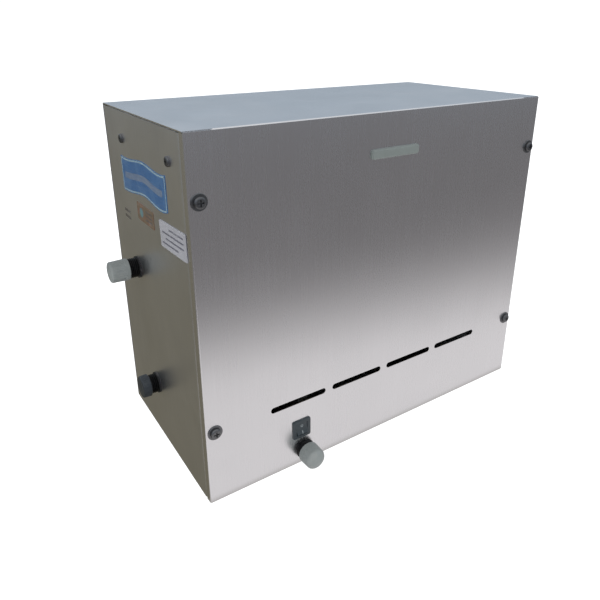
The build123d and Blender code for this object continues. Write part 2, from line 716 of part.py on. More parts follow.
# Heat exchanger: five tubes through the shell and its fins, between two headers.
TUBE = 6.3
TUBE_BORE = 5.3
TUBE_Y = [-50.0, -25.0, 0.0, 25.0, 50.0]
FIN_COUNT = 26
FIN_PITCH = 8.2
FIN = 0.6
FIN_HEIGHT = 38.0
FIN_INSET = 2.0  # from the stack's front and back to the fins
HEADER_CORNER = 3.0
BAFFLE_Y = (-13.5, -11.5)  # the plate that parts the left header's two passes


def header(span):
    """A hollow header box open nowhere, before its holes are cut."""
    with BuildPart() as piece:
        box_between((span[0], -HEADER_Y, HEADER_LOW), (span[1], HEADER_Y, HEADER_HIGH))
        fillet(piece.edges().filter_by(Axis.Y), HEADER_CORNER)
        with Locations(((span[0] + span[1]) / 2, 0, HEADER_MID)):
            Box(span[1] - span[0] - 2 * HEADER_WALL, 2 * HEADER_Y - 2 * HEADER_WALL,
                HEADER_HIGH - HEADER_LOW - 2 * HEADER_WALL, mode=Mode.SUBTRACT)
    return piece


with BuildPart() as left_header:
    add(header(LEFT_HEADER_X))
    box_between((LEFT_HEADER_X[0] + 1, BAFFLE_Y[0], HEADER_LOW + 1),
                (LEFT_HEADER_X[1] - 1, BAFFLE_Y[1], HEADER_HIGH - 1))
    with BuildSketch(Plane.YZ.offset(LEFT_HEADER_X[1])):
        with Locations(*[(y, HEADER_MID) for y in TUBE_Y]):
            Circle(TUBE)
    extrude(amount=-HEADER_WALL, mode=Mode.SUBTRACT)
    with BuildSketch(Plane(origin=(INLET_X, RISER_Y, HEADER_LOW))):
        Circle(PIPE_BORE)
    extrude(amount=HEADER_WALL, mode=Mode.SUBTRACT)
    with BuildSketch(Plane.YZ.offset(LEFT_HEADER_X[0])):
        with Locations((OUTLET_Y, HEADER_MID)):
            Circle(PIPE_BORE)
    extrude(amount=HEADER_WALL, mode=Mode.SUBTRACT)
save(left_header, "left_header")

with BuildPart() as right_header:
    add(header(RIGHT_HEADER_X))
    with BuildSketch(Plane.YZ.offset(RIGHT_HEADER_X[0])):
        with Locations(*[(y, HEADER_MID) for y in TUBE_Y]):
            Circle(TUBE)
    extrude(amount=HEADER_WALL, mode=Mode.SUBTRACT)
save(right_header, "right_header")

with BuildPart() as exchanger_tubes:
    with BuildSketch(Plane.YZ.offset(LEFT_HEADER_X[1] - HEADER_WALL)):
        with Locations(*[(y, HEADER_MID) for y in TUBE_Y]):
            Circle(TUBE)
            Circle(TUBE_BORE, mode=Mode.SUBTRACT)
    extrude(amount=RIGHT_HEADER_X[0] - LEFT_HEADER_X[1] + 2 * HEADER_WALL)
save(exchanger_tubes, "exchanger_tubes")

stack_low_x = STACK_X - STACK_LENGTH / 2
stack_high_x = STACK_X + STACK_LENGTH / 2
half_depth = STACK_DEPTH / 2

with BuildPart() as exchanger_fins:
    for i in range(FIN_COUNT):
        fin_x = STACK_X + (i - (FIN_COUNT - 1) / 2) * FIN_PITCH
        with BuildSketch(Plane.YZ.offset(fin_x - FIN / 2)):
            with Locations((0, HEADER_MID - 1)):
                Rectangle(STACK_DEPTH - 2 * FIN_INSET, FIN_HEIGHT)
            with Locations(*[(y, HEADER_MID) for y in TUBE_Y]):
                Circle(TUBE, mode=Mode.SUBTRACT)
        extrude(amount=FIN)
save(exchanger_fins, "exchanger_fins")


def duct(low, high):
    """A rectangular sheet duct the size of the stack, open at top and bottom."""
    with BuildPart() as piece:
        with BuildSketch(Plane.XY.offset(low)):
            with Locations((STACK_X, 0)):
                Rectangle(STACK_LENGTH, STACK_DEPTH)
                Rectangle(STACK_LENGTH - 2 * STACK_WALL, STACK_DEPTH - 2 * STACK_WALL,
                          mode=Mode.SUBTRACT)
        extrude(amount=high - low)
    return piece


with BuildPart() as exchanger_shell:
    add(duct(CHAMBER_TOP, EXCHANGER_TOP))
    with BuildSketch(Plane.YZ.offset(stack_low_x)):
        with Locations(*[(y, HEADER_MID) for y in TUBE_Y]):
            Circle(TUBE)
    extrude(amount=STACK_LENGTH, mode=Mode.SUBTRACT)
save(exchanger_shell, "exchanger_shell")

outlet_run = {"points": [(LEFT_HEADER_X[0], OUTLET_Y, HEADER_MID), (OUTLET_DROP_X, OUTLET_Y, HEADER_MID),
                         (OUTLET_DROP_X, OUTLET_Y, OUTLET_Z), (LEFT + INSIDE, OUTLET_Y, OUTLET_Z)],
              "radius": OUTLET_BEND}
save(tube_path(outlet_run, PIPE, PIPE_BORE), "outlet_pipe")

DISC = 9.0  # radius of the thermostat's body
DISC_HEIGHT = 7.0
EAR_LENGTH = 30.0
EAR_CORNER = 4.0
TAB = 0.4  # half the thickness of a terminal tab
TAB_LOW = HEADER_HIGH + 6.0
TAB_HIGH = HEADER_HIGH + 14.0
thermostat_x = sum(LEFT_HEADER_X) / 2
thermostat_at = Plane(origin=(thermostat_x, OUTLET_Y, HEADER_HIGH))

with BuildPart() as limit_thermostat:
    with BuildSketch(thermostat_at):
        Circle(DISC)
    extrude(amount=DISC_HEIGHT)
    with BuildSketch(thermostat_at):
        RectangleRounded(EAR_LENGTH, DISC, EAR_CORNER)
    extrude(amount=1)
    for y in (OUTLET_Y - DISC / 3, OUTLET_Y + DISC / 3):
        box_between((thermostat_x - DISC / 3, y - TAB, TAB_LOW), (thermostat_x + DISC / 3, y + TAB, TAB_HIGH))
save(limit_thermostat, "limit_thermostat")

# ------------------------------------------------------------------ combustion chamber
IGNITER_X = 110.0
SENSOR_X = 60.0
PROBE_Z = 132.0
CERAMIC = 3.5
BOARD = 8.0

with BuildPart() as combustion_chamber:
    add(duct(CHAMBER_BASE, CHAMBER_TOP))
    with BuildSketch(Plane(origin=(0, -half_depth, 0), x_dir=(1, 0, 0), z_dir=(0, -1, 0))):
        with Locations((IGNITER_X, PROBE_Z), (SENSOR_X, PROBE_Z)):
            Circle(CERAMIC)
    extrude(amount=-STACK_WALL, mode=Mode.SUBTRACT)
save(combustion_chamber, "combustion_chamber")

with BuildPart() as insulation_boards:
    reach = half_depth - STACK_WALL
    for side in (-1, 1):
        rows = sorted((side * reach, side * (reach - BOARD)))
        box_between((stack_low_x + STACK_WALL, rows[0], CHAMBER_BASE),
                    (stack_high_x - STACK_WALL, rows[1], CHAMBER_TOP))
        edge = STACK_X + side * (STACK_LENGTH / 2 - STACK_WALL - BOARD / 2)
        box_between((edge - BOARD / 2, -reach + BOARD + GAP, CHAMBER_BASE),
                    (edge + BOARD / 2, reach - BOARD - GAP, CHAMBER_TOP))
    with BuildSketch(Plane(origin=(0, -reach, 0), x_dir=(1, 0, 0), z_dir=(0, -1, 0))):
        with Locations((IGNITER_X, PROBE_Z), (SENSOR_X, PROBE_Z)):
            Circle(CERAMIC)
    extrude(amount=-BOARD, mode=Mode.SUBTRACT)
save(insulation_boards, "insulation_boards")

WIRE = 1.2
CERAMIC_IN = 10.0  # how far the ceramic reaches in, and out of, the chamber's front
CERAMIC_OUT = 8.0
COLLAR = 4.6
COLLAR_END = 11.0
TERMINAL = 2.0
TERMINAL_END = 19.0
IGNITER_REACH = 26.0
SENSOR_REACH = 40.0


def probe(x, reach):
    """A ceramic rod with a wire tip inside the chamber and a terminal outside."""
    place = Plane(origin=(x, -half_depth, PROBE_Z), x_dir=(1, 0, 0), z_dir=(0, -1, 0))
    return turned(place, [(0, -reach), (WIRE, -reach), (WIRE, -CERAMIC_IN - 2), (CERAMIC, -CERAMIC_IN),
                          (CERAMIC, CERAMIC_OUT), (COLLAR, CERAMIC_OUT), (COLLAR, COLLAR_END),
                          (TERMINAL, COLLAR_END + 1), (TERMINAL, TERMINAL_END), (0, TERMINAL_END)])


save(probe(IGNITER_X, IGNITER_REACH), "spark_electrode")
save(probe(SENSOR_X, SENSOR_REACH), "flame_sensor")

# ------------------------------------------------------------------ burner
BURNER_COUNT = 6
BURNER_PITCH = 35.2
BURNER_WIDTH = 20.0
BURNER_LENGTH = 116.0
BURNER_LOW = 88.0
BURNER_HIGH = 112.0
GAS_LINE_Z = 100.0
MANIFOLD_Y = -88.0
MANIFOLD = 8.0
BURNER_WALL = 1.5
BURNER_END = 2.0  # thickness of a burner's end wall
BURNER_CORNER = 4.0
VENTURI = 6.0  # radius of a burner's gas entry
PORT_ROWS = 11
PORT_ROW_PITCH = 9.0
PORT_ROW = (11.0, 2.0)
PORT_ROW_DEPTH = 3.0
TRAY_OPENING = (16.0, 40.0)  # how much smaller the tray's opening is than the stack
TRAY_HOLE = 8.0
LEG = 14.0
burner_x = [STACK_X + (i - (BURNER_COUNT - 1) / 2) * BURNER_PITCH for i in range(BURNER_COUNT)]

with BuildPart() as burner_bars:
    with BuildSketch(Plane.XZ.offset(-BURNER_LENGTH / 2)):
        with Locations(*[(x, (BURNER_LOW + BURNER_HIGH) / 2) for x in burner_x]):
            RectangleRounded(BURNER_WIDTH, BURNER_HIGH - BURNER_LOW, BURNER_CORNER)
    extrude(amount=BURNER_LENGTH)
    with BuildSketch(Plane.XZ.offset(-BURNER_LENGTH / 2 + BURNER_END)):
        with Locations(*[(x, (BURNER_LOW + BURNER_HIGH) / 2) for x in burner_x]):
            RectangleRounded(BURNER_WIDTH - 2 * BURNER_WALL, BURNER_HIGH - BURNER_LOW - 2 * BURNER_WALL,
                             BURNER_CORNER - 1)
    extrude(amount=BURNER_LENGTH - 2 * BURNER_END, mode=Mode.SUBTRACT)
    with BuildSketch(Plane.XZ.offset(BURNER_LENGTH / 2)):
        with Locations(*[(x, GAS_LINE_Z) for x in burner_x]):
            Circle(VENTURI)
    extrude(amount=-BURNER_END, mode=Mode.SUBTRACT)
    with BuildSketch(Plane.XY.offset(BURNER_HIGH)):
        for x in burner_x:
            with Locations((x, 0)):
                with GridLocations(1, PORT_ROW_PITCH, 1, PORT_ROWS):
                    Rectangle(*PORT_ROW)
    extrude(amount=-PORT_ROW_DEPTH, mode=Mode.SUBTRACT)
save(burner_bars, "burner_bars")

with BuildPart() as burner_tray:
    add(duct(BURNER_BASE, CHAMBER_BASE))
    with BuildSketch(Plane.XY.offset(BURNER_BASE)):
        with Locations((STACK_X, 0)):
            Rectangle(STACK_LENGTH, STACK_DEPTH)
            Rectangle(STACK_LENGTH - TRAY_OPENING[0], STACK_DEPTH - TRAY_OPENING[1], mode=Mode.SUBTRACT)
    extrude(amount=BURNER_LOW - BURNER_BASE)
    with BuildSketch(Plane(origin=(0, -half_depth, 0), x_dir=(1, 0, 0), z_dir=(0, -1, 0))):
        with Locations(*[(x, GAS_LINE_Z) for x in burner_x]):
            Circle(TRAY_HOLE)
    extrude(amount=-STACK_WALL, mode=Mode.SUBTRACT)
    for side_x in (-1, 1):
        for side_y in (-1, 1):
            corner_x = STACK_X + side_x * STACK_LENGTH / 2
            corner_y = side_y * half_depth
            xs = sorted((corner_x, corner_x - side_x * LEG))
            ys = sorted((corner_y, corner_y - side_y * LEG))
            thin_x = sorted((corner_x, corner_x - side_x * STACK_WALL))
            thin_y = sorted((corner_y, corner_y - side_y * STACK_WALL))
            box_between((xs[0], thin_y[0], SHEET), (xs[1], thin_y[1], BURNER_BASE))
            box_between((thin_x[0], ys[0], SHEET), (thin_x[1], ys[1], BURNER_BASE))
save(burner_tray, "burner_tray")

# ------------------------------------------------------------------ gas line
VALVE_X = (-188.0, -132.0)
VALVE_Y = (GAS_Y - 30.0, GAS_Y + 30.0)
VALVE_Z = (GAS_Z - 16.0, 112.0)
VALVE_MID_X = sum(VALVE_X) / 2
BRACKET = 1.5
BRACKET_INSET = (4.0, 5.0)
VALVE_CORNER = 5.0
VALVE_SPOUT = 12.0
VALVE_ELBOW = 9.0
ELBOW_OUT = 6.0
VALVE_BORE_DEPTH = 12.0
COIL_Y = (GAS_Y - 15, GAS_Y + 15)
COIL_SIZE = (26.0, 24.0)
COIL_HEIGHT = 24.0
COIL_NUT = 5.0
COIL_NUT_HEIGHT = 4.0

with BuildPart() as gas_valve:
    box_between((VALVE_X[0], VALVE_Y[0], VALVE_Z[0]), (VALVE_X[1], VALVE_Y[1], VALVE_Z[1]))
    fillet(gas_valve.edges().filter_by(Axis.Z), VALVE_CORNER)
    with BuildSketch(gas_port.offset(-INSIDE)):
        Circle(VALVE_SPOUT)
    extrude(amount=LEFT + INSIDE - VALVE_X[0])
    with BuildSketch(Plane(origin=(VALVE_MID_X, VALVE_Y[0], GAS_LINE_Z), z_dir=(0, -1, 0))):
        Circle(VALVE_ELBOW)
    extrude(amount=ELBOW_OUT)
    with BuildSketch(Plane(origin=(VALVE_MID_X, VALVE_Y[0] - ELBOW_OUT, GAS_LINE_Z), z_dir=(0, -1, 0))):
        Circle(GAS_PIPE_BORE)
    extrude(amount=-VALVE_BORE_DEPTH, mode=Mode.SUBTRACT)
    with BuildSketch(gas_port.offset(-INSIDE)):
        Circle(PORT_BORE)
    extrude(amount=-VALVE_BORE_DEPTH, mode=Mode.SUBTRACT)
save(gas_valve, "gas_valve")

with BuildPart() as valve_solenoids:
    for y in COIL_Y:
        with BuildSketch(Plane(origin=(VALVE_MID_X, y, VALVE_Z[1]))):
            RectangleRounded(*COIL_SIZE, 4)
        extrude(amount=COIL_HEIGHT)
        with BuildSketch(Plane(origin=(VALVE_MID_X, y, VALVE_Z[1] + COIL_HEIGHT))):
            RegularPolygon(COIL_NUT, 6)
        extrude(amount=COIL_NUT_HEIGHT)
save(valve_solenoids, "valve_solenoids")

with BuildPart() as valve_bracket:
    legs = (VALVE_Y[0] + BRACKET_INSET[1], VALVE_Y[1] - BRACKET_INSET[1] - BRACKET)
    bracket_x = (VALVE_X[0] + BRACKET_INSET[0], VALVE_X[1] - BRACKET_INSET[0])
    box_between((bracket_x[0], legs[0], VALVE_Z[0] - BRACKET),
                (bracket_x[1], legs[1] + BRACKET, VALVE_Z[0]))
    for y in legs:
        box_between((bracket_x[0], y, SHEET), (bracket_x[1], y + BRACKET, VALVE_Z[0]))
save(valve_bracket, "valve_bracket")

MANIFOLD_ENDS = (46.0, 14.0)  # past the first and last burner
GAS_BEND = 20.0
manifold_left = burner_x[0] - MANIFOLD_ENDS[0]
manifold_right = burner_x[-1] + MANIFOLD_ENDS[1]
gas_run = {"points": [(VALVE_MID_X, VALVE_Y[0] - ELBOW_OUT, GAS_LINE_Z),
                      (VALVE_MID_X, MANIFOLD_Y, GAS_LINE_Z), (manifold_left, MANIFOLD_Y, GAS_LINE_Z)],
           "radius": GAS_BEND}
save(tube_path(gas_run, GAS_PIPE, GAS_PIPE_BORE), "gas_pipe")

INJECTOR = 3.0
JET = 0.6  # bore of an injector
JET_TIP = 1.6
JET_HEX = 5.0
JET_START = 5.4  # distances from the manifold's axis
HEX_START = 8.1
HEX_END = 13.0
JET_END = 24.0

with BuildPart() as gas_manifold:
    with BuildSketch(Plane(origin=(manifold_left, MANIFOLD_Y, GAS_LINE_Z), z_dir=(1, 0, 0))):
        Circle(MANIFOLD)
    extrude(amount=manifold_right - manifold_left)
    with BuildSketch(Plane(origin=(manifold_left, MANIFOLD_Y, GAS_LINE_Z), z_dir=(1, 0, 0))):
        Circle(GAS_PIPE_BORE)
    extrude(amount=manifold_right - manifold_left - 3, mode=Mode.SUBTRACT)
    with BuildSketch(Plane(origin=(0, MANIFOLD_Y, 0), x_dir=(-1, 0, 0), z_dir=(0, 1, 0))):
        with Locations(*[(-x, GAS_LINE_Z) for x in burner_x]):
            Circle(INJECTOR)
    extrude(amount=MANIFOLD, mode=Mode.SUBTRACT)
save(gas_manifold, "gas_manifold")

with BuildPart() as gas_injectors:
    for x in burner_x:
        seat = Plane(origin=(x, MANIFOLD_Y, GAS_LINE_Z), x_dir=(-1, 0, 0), z_dir=(0, 1, 0))
        add(turned(seat, [(JET, JET_START), (INJECTOR, JET_START), (INJECTOR, HEX_START),
                          (JET_HEX, HEX_START), (JET_HEX, HEX_END), (INJECTOR, HEX_END + 2),
                          (JET_TIP, JET_END), (JET, JET_END)]))
save(gas_injectors, "gas_injectors")

# ------------------------------------------------------------------ flue hood and blower
HOOD_INLET = 26.0
BLOWER = 55.0
BLOWER_WALL = 1.5
OUTLET_WIDTH = 40.0
OUTLET_END = 64.0
HOOD_SIZE = (100.0, 84.0)
HOOD_SLOPE = 3.0  # thickness of the hood's sloping sides where they start
MOTOR_HOLE = 4.0

with BuildPart() as flue_hood:
    with BuildSketch(Plane.XY.offset(EXCHANGER_TOP)):
        with Locations((STACK_X, 0)):
            Rectangle(STACK_LENGTH, STACK_DEPTH)
    with BuildSketch(Plane.XY.offset(HOOD_TOP)):
        with Locations((STACK_X, BLOWER_Y)):
            Rectangle(*HOOD_SIZE)
    loft()
    with BuildSketch(Plane.XY.offset(EXCHANGER_TOP)):
        with Locations((STACK_X, 0)):
            Rectangle(STACK_LENGTH - 2 * HOOD_SLOPE, STACK_DEPTH - 2 * HOOD_SLOPE)
    with BuildSketch(Plane.XY.offset(HOOD_TOP - STACK_WALL)):
        with Locations((STACK_X, BLOWER_Y)):
            Rectangle(HOOD_SIZE[0] - 4, HOOD_SIZE[1] - 4)
    loft(mode=Mode.SUBTRACT)
    with BuildSketch(Plane(origin=(STACK_X, BLOWER_Y, HOOD_TOP))):
        Circle(HOOD_INLET)
    extrude(amount=-HOOD_TOP + EXCHANGER_TOP, mode=Mode.SUBTRACT)
save(flue_hood, "flue_hood")

with BuildPart() as blower_housing:
    with BuildSketch(Plane.XY.offset(HOOD_TOP)):
        with Locations((STACK_X, BLOWER_Y)):
            Circle(BLOWER)
        with Locations((FLUE_X, (BLOWER_Y + OUTLET_END) / 2)):
            Rectangle(OUTLET_WIDTH, OUTLET_END - BLOWER_Y)
    extrude(amount=BLOWER_TOP - HOOD_TOP)
    with BuildSketch(Plane.XY.offset(HOOD_TOP + BLOWER_WALL)):
        with Locations((STACK_X, BLOWER_Y)):
            Circle(BLOWER - BLOWER_WALL)
        with Locations((FLUE_X, (BLOWER_Y + OUTLET_END) / 2)):
            Rectangle(OUTLET_WIDTH - 2 * BLOWER_WALL, OUTLET_END - BLOWER_Y)
    extrude(amount=BLOWER_TOP - HOOD_TOP - 2 * BLOWER_WALL, mode=Mode.SUBTRACT)
    with BuildSketch(Plane(origin=(STACK_X, BLOWER_Y, HOOD_TOP))):
        Circle(HOOD_INLET)
    extrude(amount=BLOWER_WALL, mode=Mode.SUBTRACT)
    with BuildSketch(Plane(origin=(STACK_X, BLOWER_Y, BLOWER_TOP))):
        Circle(MOTOR_HOLE)
    extrude(amount=-BLOWER_WALL, mode=Mode.SUBTRACT)
save(blower_housing, "blower_housing")

WHEEL = 45.0
WHEEL_GAP = 6.0
WHEEL_LOW = HOOD_TOP + WHEEL_GAP
WHEEL_HIGH = BLOWER_TOP - WHEEL_GAP
WHEEL_PLATE = 1.5
BLADES = 24
BLADE_CHORD = 7.0
BLADE_SHEET = 1.0
BLADE_ANGLE = 25.0
HUB = 8.0
SHAFT = 2.5
MOTOR_TOP = 355.0

with BuildPart() as blower_wheel:
    with BuildSketch(Plane(origin=(STACK_X, BLOWER_Y, WHEEL_HIGH - WHEEL_PLATE))):
        Circle(WHEEL)
    extrude(amount=WHEEL_PLATE)
    with BuildSketch(Plane(origin=(STACK_X, BLOWER_Y, WHEEL_LOW))):
        Circle(WHEEL)
        Circle(WHEEL - BLADE_CHORD, mode=Mode.SUBTRACT)
    extrude(amount=WHEEL_PLATE)
    with BuildSketch(Plane(origin=(STACK_X, BLOWER_Y, WHEEL_LOW + 1))):
        with PolarLocations(WHEEL - BLADE_CHORD / 2, BLADES):
            Rectangle(BLADE_CHORD, BLADE_SHEET, rotation=BLADE_ANGLE)
    extrude(amount=WHEEL_HIGH - WHEEL_LOW - 2)
    with BuildSketch(Plane(origin=(STACK_X, BLOWER_Y, WHEEL_LOW + HUB))):
        Circle(HUB)
    extrude(amount=WHEEL_HIGH - WHEEL_LOW - HUB)
    with BuildSketch(Plane(origin=(STACK_X, BLOWER_Y, WHEEL_LOW))):
        Circle(SHAFT)
    extrude(amount=WHEEL_HIGH - WHEEL_LOW, mode=Mode.SUBTRACT)
    with BuildSketch(Plane(origin=(STACK_X, BLOWER_Y, WHEEL_LOW + HUB))):
        Circle(SHAFT)
    extrude(amount=MOTOR_TOP - 4 - WHEEL_LOW - HUB)
save(blower_wheel, "blower_wheel")

MOTOR = 26.0
MOTOR_FOOT = 28.0
MOTOR_EAR = (12.0, 14.0)
MOTOR_EAR_Y = 33.0
MOTOR_ROUND = 3.0
SHAFT_CLEARANCE = 0.06

with BuildPart() as blower_motor:
    with BuildSketch(Plane(origin=(STACK_X, BLOWER_Y, BLOWER_TOP))):
        Circle(MOTOR_FOOT)
        with Locations((0, MOTOR_EAR_Y), (0, -MOTOR_EAR_Y)):
            Rectangle(*MOTOR_EAR)
    extrude(amount=2)
    with BuildSketch(Plane(origin=(STACK_X, BLOWER_Y, BLOWER_TOP))):
        Circle(MOTOR)
    extrude(amount=MOTOR_TOP - BLOWER_TOP)
    fillet(blower_motor.edges().group_by(Axis.Z)[-1], MOTOR_ROUND)
    with BuildSketch(Plane(origin=(STACK_X, BLOWER_Y, BLOWER_TOP))):
        Circle(SHAFT + SHAFT_CLEARANCE)
    extrude(amount=MOTOR_TOP - BLOWER_TOP - 3, mode=Mode.SUBTRACT)
save(blower_motor, "blower_motor")

FLUE_WALL = 1.2
FLUE_JOIN = 100.0
FLUE_END = BACK + 32.0

flue_axis = Plane(origin=(FLUE_X, BACK, FLUE_Z), x_dir=(-1, 0, 0), z_dir=(0, 1, 0))


def transition(inset):
    """A loft from the blower's rectangular outlet to the round flue."""
    with BuildPart() as piece:
        with BuildSketch(flue_axis.offset(OUTLET_END - BACK)):
            Rectangle(OUTLET_WIDTH - 2 * inset, BLOWER_TOP - HOOD_TOP - 2 * inset)
        with BuildSketch(flue_axis.offset(FLUE_JOIN - BACK)):
            Circle(FLUE - inset)
        loft()
    return piece


with BuildPart() as flue_transition:
    add(transition(0))
    add(transition(FLUE_WALL), mode=Mode.SUBTRACT)
save(flue_transition, "flue_transition")

with BuildPart() as flue_spigot:
    with BuildSketch(flue_axis.offset(FLUE_JOIN - BACK)):
        Circle(FLUE)
    extrude(amount=FLUE_END - FLUE_JOIN)
    with BuildSketch(flue_axis.offset(GASKET)):
        Circle(FLUE_RING)
    extrude(amount=FLUE_PLATE)
    with BuildSketch(flue_axis.offset(FLUE_JOIN - BACK)):
        Circle(FLUE - FLUE_WALL)
    extrude(amount=FLUE_END - FLUE_JOIN, mode=Mode.SUBTRACT)
    with BuildSketch(flue_axis.offset(GASKET)):
        with Locations(*flue_screws):
            Circle(SCREW_HOLE)
    extrude(amount=FLUE_PLATE, mode=Mode.SUBTRACT)
save(flue_spigot, "flue_spigot")

with BuildPart() as flue_gasket:
    with BuildSketch(flue_axis):
        Circle(FLUE_RING)
        Circle(FLUE_HOLE, mode=Mode.SUBTRACT)
        with Locations(*flue_screws):
            Circle(SCREW_HOLE, mode=Mode.SUBTRACT)
    extrude(amount=GASKET)
save(flue_gasket, "flue_gasket")

# ------------------------------------------------------------------ control box
BOX_X = (152.0, RIGHT - SHEET)
BOX_Y = (-88.0, 40.0)
BOX_Z = (30.0, 200.0)
BOX_WALL = 2.0
LEAD = 1.5
BLOWER_LEAD = 2.5
BLOWER_LEAD_X = 180.0
BLOWER_LEAD_Z = 342.0
COVER = 2.5
COVER_ROUND = 1.5
COVER_TONGUE = 4.0

with BuildPart() as control_box:
    box_between((BOX_X[0], BOX_Y[0], BOX_Z[0]), (BOX_X[1], BOX_Y[1], BOX_Z[1]))
    with Locations((sum(BOX_X) / 2, sum(BOX_Y) / 2 - BOX_WALL, sum(BOX_Z) / 2)):
        Box(BOX_X[1] - BOX_X[0] - 2 * BOX_WALL, BOX_Y[1] - BOX_Y[0], BOX_Z[1] - BOX_Z[0] - 2 * BOX_WALL,
            mode=Mode.SUBTRACT)
save(control_box, "control_box")

with BuildPart() as control_box_cover:
    box_between((BOX_X[0], BOX_Y[0] - COVER, BOX_Z[0]), (BOX_X[1], BOX_Y[0], BOX_Z[1]))
    fillet(control_box_cover.faces().sort_by(Axis.Y)[0].edges(), COVER_ROUND)
    box_between((BOX_X[0] + BOX_WALL + GAP, BOX_Y[0], BOX_Z[0] + BOX_WALL + GAP),
                (BOX_X[0] + 2 * BOX_WALL, BOX_Y[0] + COVER_TONGUE, BOX_Z[1] - BOX_WALL - GAP))
    box_between((BOX_X[1] - 2 * BOX_WALL, BOX_Y[0], BOX_Z[0] + BOX_WALL + GAP),
                (BOX_X[1] - BOX_WALL - GAP, BOX_Y[0] + COVER_TONGUE, BOX_Z[1] - BOX_WALL - GAP))
save(control_box_cover, "control_box_cover")

PCB_X = 160.0
PCB = 1.6
PCB_Y = (-78.0, 32.0)
PCB_Z = (40.0, 145.0)
# Components as (places, size, height), places as (y, z).
RELAYS = (((-57, 125), (-33, 125)), (18.0, 14.0), 15.0)
CAPACITORS = (((-65, 92), (-50, 92)), 5.5, 20.0)
CHIP = ((-5, 90), (22.0, 22.0), 3.0)
TERMINALS = ([(-70 + 12 * i, 50) for i in range(8)], (9.0, 10.0), 12.0)

with BuildPart() as circuit_board:
    box_between((PCB_X, PCB_Y[0], PCB_Z[0]), (PCB_X + PCB, PCB_Y[1], PCB_Z[1]))
save(circuit_board, "circuit_board")

with BuildPart() as board_components:
    face = Plane(origin=(PCB_X + PCB, 0, 0), x_dir=(0, 1, 0), z_dir=(1, 0, 0))
    with BuildSketch(face):
        with Locations(*RELAYS[0]):
            Rectangle(*RELAYS[1])
    extrude(amount=RELAYS[2])
    with BuildSketch(face):
        with Locations(*CAPACITORS[0]):
            Circle(CAPACITORS[1])
    extrude(amount=CAPACITORS[2])
    with BuildSketch(face):
        with Locations(CHIP[0]):
            Rectangle(*CHIP[1])
    extrude(amount=CHIP[2])
    with BuildSketch(face):
        with Locations(*TERMINALS[0]):
            Rectangle(*TERMINALS[1])
    extrude(amount=TERMINALS[2])
save(board_components, "board_components")

# The transformer's blocks as (low corner, high corner).
CORE = ((170, -30, 155), (206, 20, 192))
WINDING = ((166, -20, 160), (210, 10, 187))
FOOT = ((170, -42, 192), (206, 32, 194))
HANGER = ((180, -24, 192), (196, 14, BOX_Z[1] - BOX_WALL))

with BuildPart() as transformer:
    box_between(*CORE)
    fillet(transformer.edges().filter_by(Axis.X), 2)
    box_between(*WINDING)
    box_between(*FOOT)
    box_between(*HANGER)
save(transformer, "transformer")

# The probes' leads run along the front of the stack and into the control box's left side.
LEAD_Y = -97.0
LEAD_TURN_X = 141.0
LEAD_ENTRY_Y = -66.0
SENSOR_LEAD_Z = 150.0
LEAD_BEND = 5.0
BLOWER_LEAD_BEND = 25.0
terminal_y = -half_depth - TERMINAL_END

ignition_run = {"points": [(IGNITER_X, terminal_y, PROBE_Z), (IGNITER_X, LEAD_Y, PROBE_Z),
                           (LEAD_TURN_X, LEAD_Y, PROBE_Z), (LEAD_TURN_X, LEAD_ENTRY_Y, PROBE_Z),
                           (BOX_X[0], LEAD_ENTRY_Y, PROBE_Z)],
                "radius": LEAD_BEND}
sensor_run = {"points": [(SENSOR_X, terminal_y, PROBE_Z), (SENSOR_X, LEAD_Y, PROBE_Z),
                         (SENSOR_X, LEAD_Y, SENSOR_LEAD_Z), (LEAD_TURN_X, LEAD_Y, SENSOR_LEAD_Z),
                         (LEAD_TURN_X, LEAD_ENTRY_Y, SENSOR_LEAD_Z), (BOX_X[0], LEAD_ENTRY_Y, SENSOR_LEAD_Z)],
              "radius": LEAD_BEND}
blower_run = {"points": [(STACK_X + MOTOR, BLOWER_Y, BLOWER_LEAD_Z), (BLOWER_LEAD_X, BLOWER_Y, BLOWER_LEAD_Z),
                         (BLOWER_LEAD_X, BLOWER_Y, BOX_Z[1])],
              "radius": BLOWER_LEAD_BEND}

with BuildPart() as internal_leads:
    add(tube_path(ignition_run, LEAD, 0))
    add(tube_path(sensor_run, LEAD, 0))
    add(tube_path(blower_run, BLOWER_LEAD, 0))
save(internal_leads, "internal_leads")

gland_axis = Plane(origin=(RIGHT, GLAND_Y, GLAND_Z), x_dir=(0, 1, 0), z_dir=(1, 0, 0))

GLAND_FLATS = 12.0  # half the distance across the gland's flats
GLAND_HEX = 5.0
GLAND_DOME = 11.0
GLAND_DOME_HEIGHT = 13.0
GLAND_TAPER = 8.0
GLAND_ROUND = 3.0
GLAND_INSIDE = 9.0
GLAND_NUT = 12.5
GLAND_NUT_HEIGHT = 4.0

with BuildPart() as cable_gland:
    with BuildSketch(gland_axis):
        RegularPolygon(GLAND_FLATS, 6, major_radius=False)
    extrude(amount=GLAND_HEX)
    with BuildSketch(gland_axis.offset(GLAND_HEX)):
        Circle(GLAND_DOME)
    extrude(amount=GLAND_DOME_HEIGHT, taper=GLAND_TAPER)
    fillet(cable_gland.faces().sort_by(Axis.X)[-1].edges(), GLAND_ROUND)
    with BuildSketch(gland_axis):
        Circle(GLAND_THREAD)
    extrude(amount=-GLAND_INSIDE)
    with BuildSketch(gland_axis.offset(-GLAND_INSIDE)):
        Circle(GLAND_BORE)
    extrude(amount=GLAND_INSIDE + GLAND_HEX + GLAND_DOME_HEIGHT, mode=Mode.SUBTRACT)
    with BuildSketch(gland_axis.offset(-SHEET)):
        RegularPolygon(GLAND_NUT, 6, major_radius=False)
        Circle(GLAND_THREAD, mode=Mode.SUBTRACT)
    extrude(amount=-GLAND_NUT_HEIGHT)
save(cable_gland, "cable_gland")
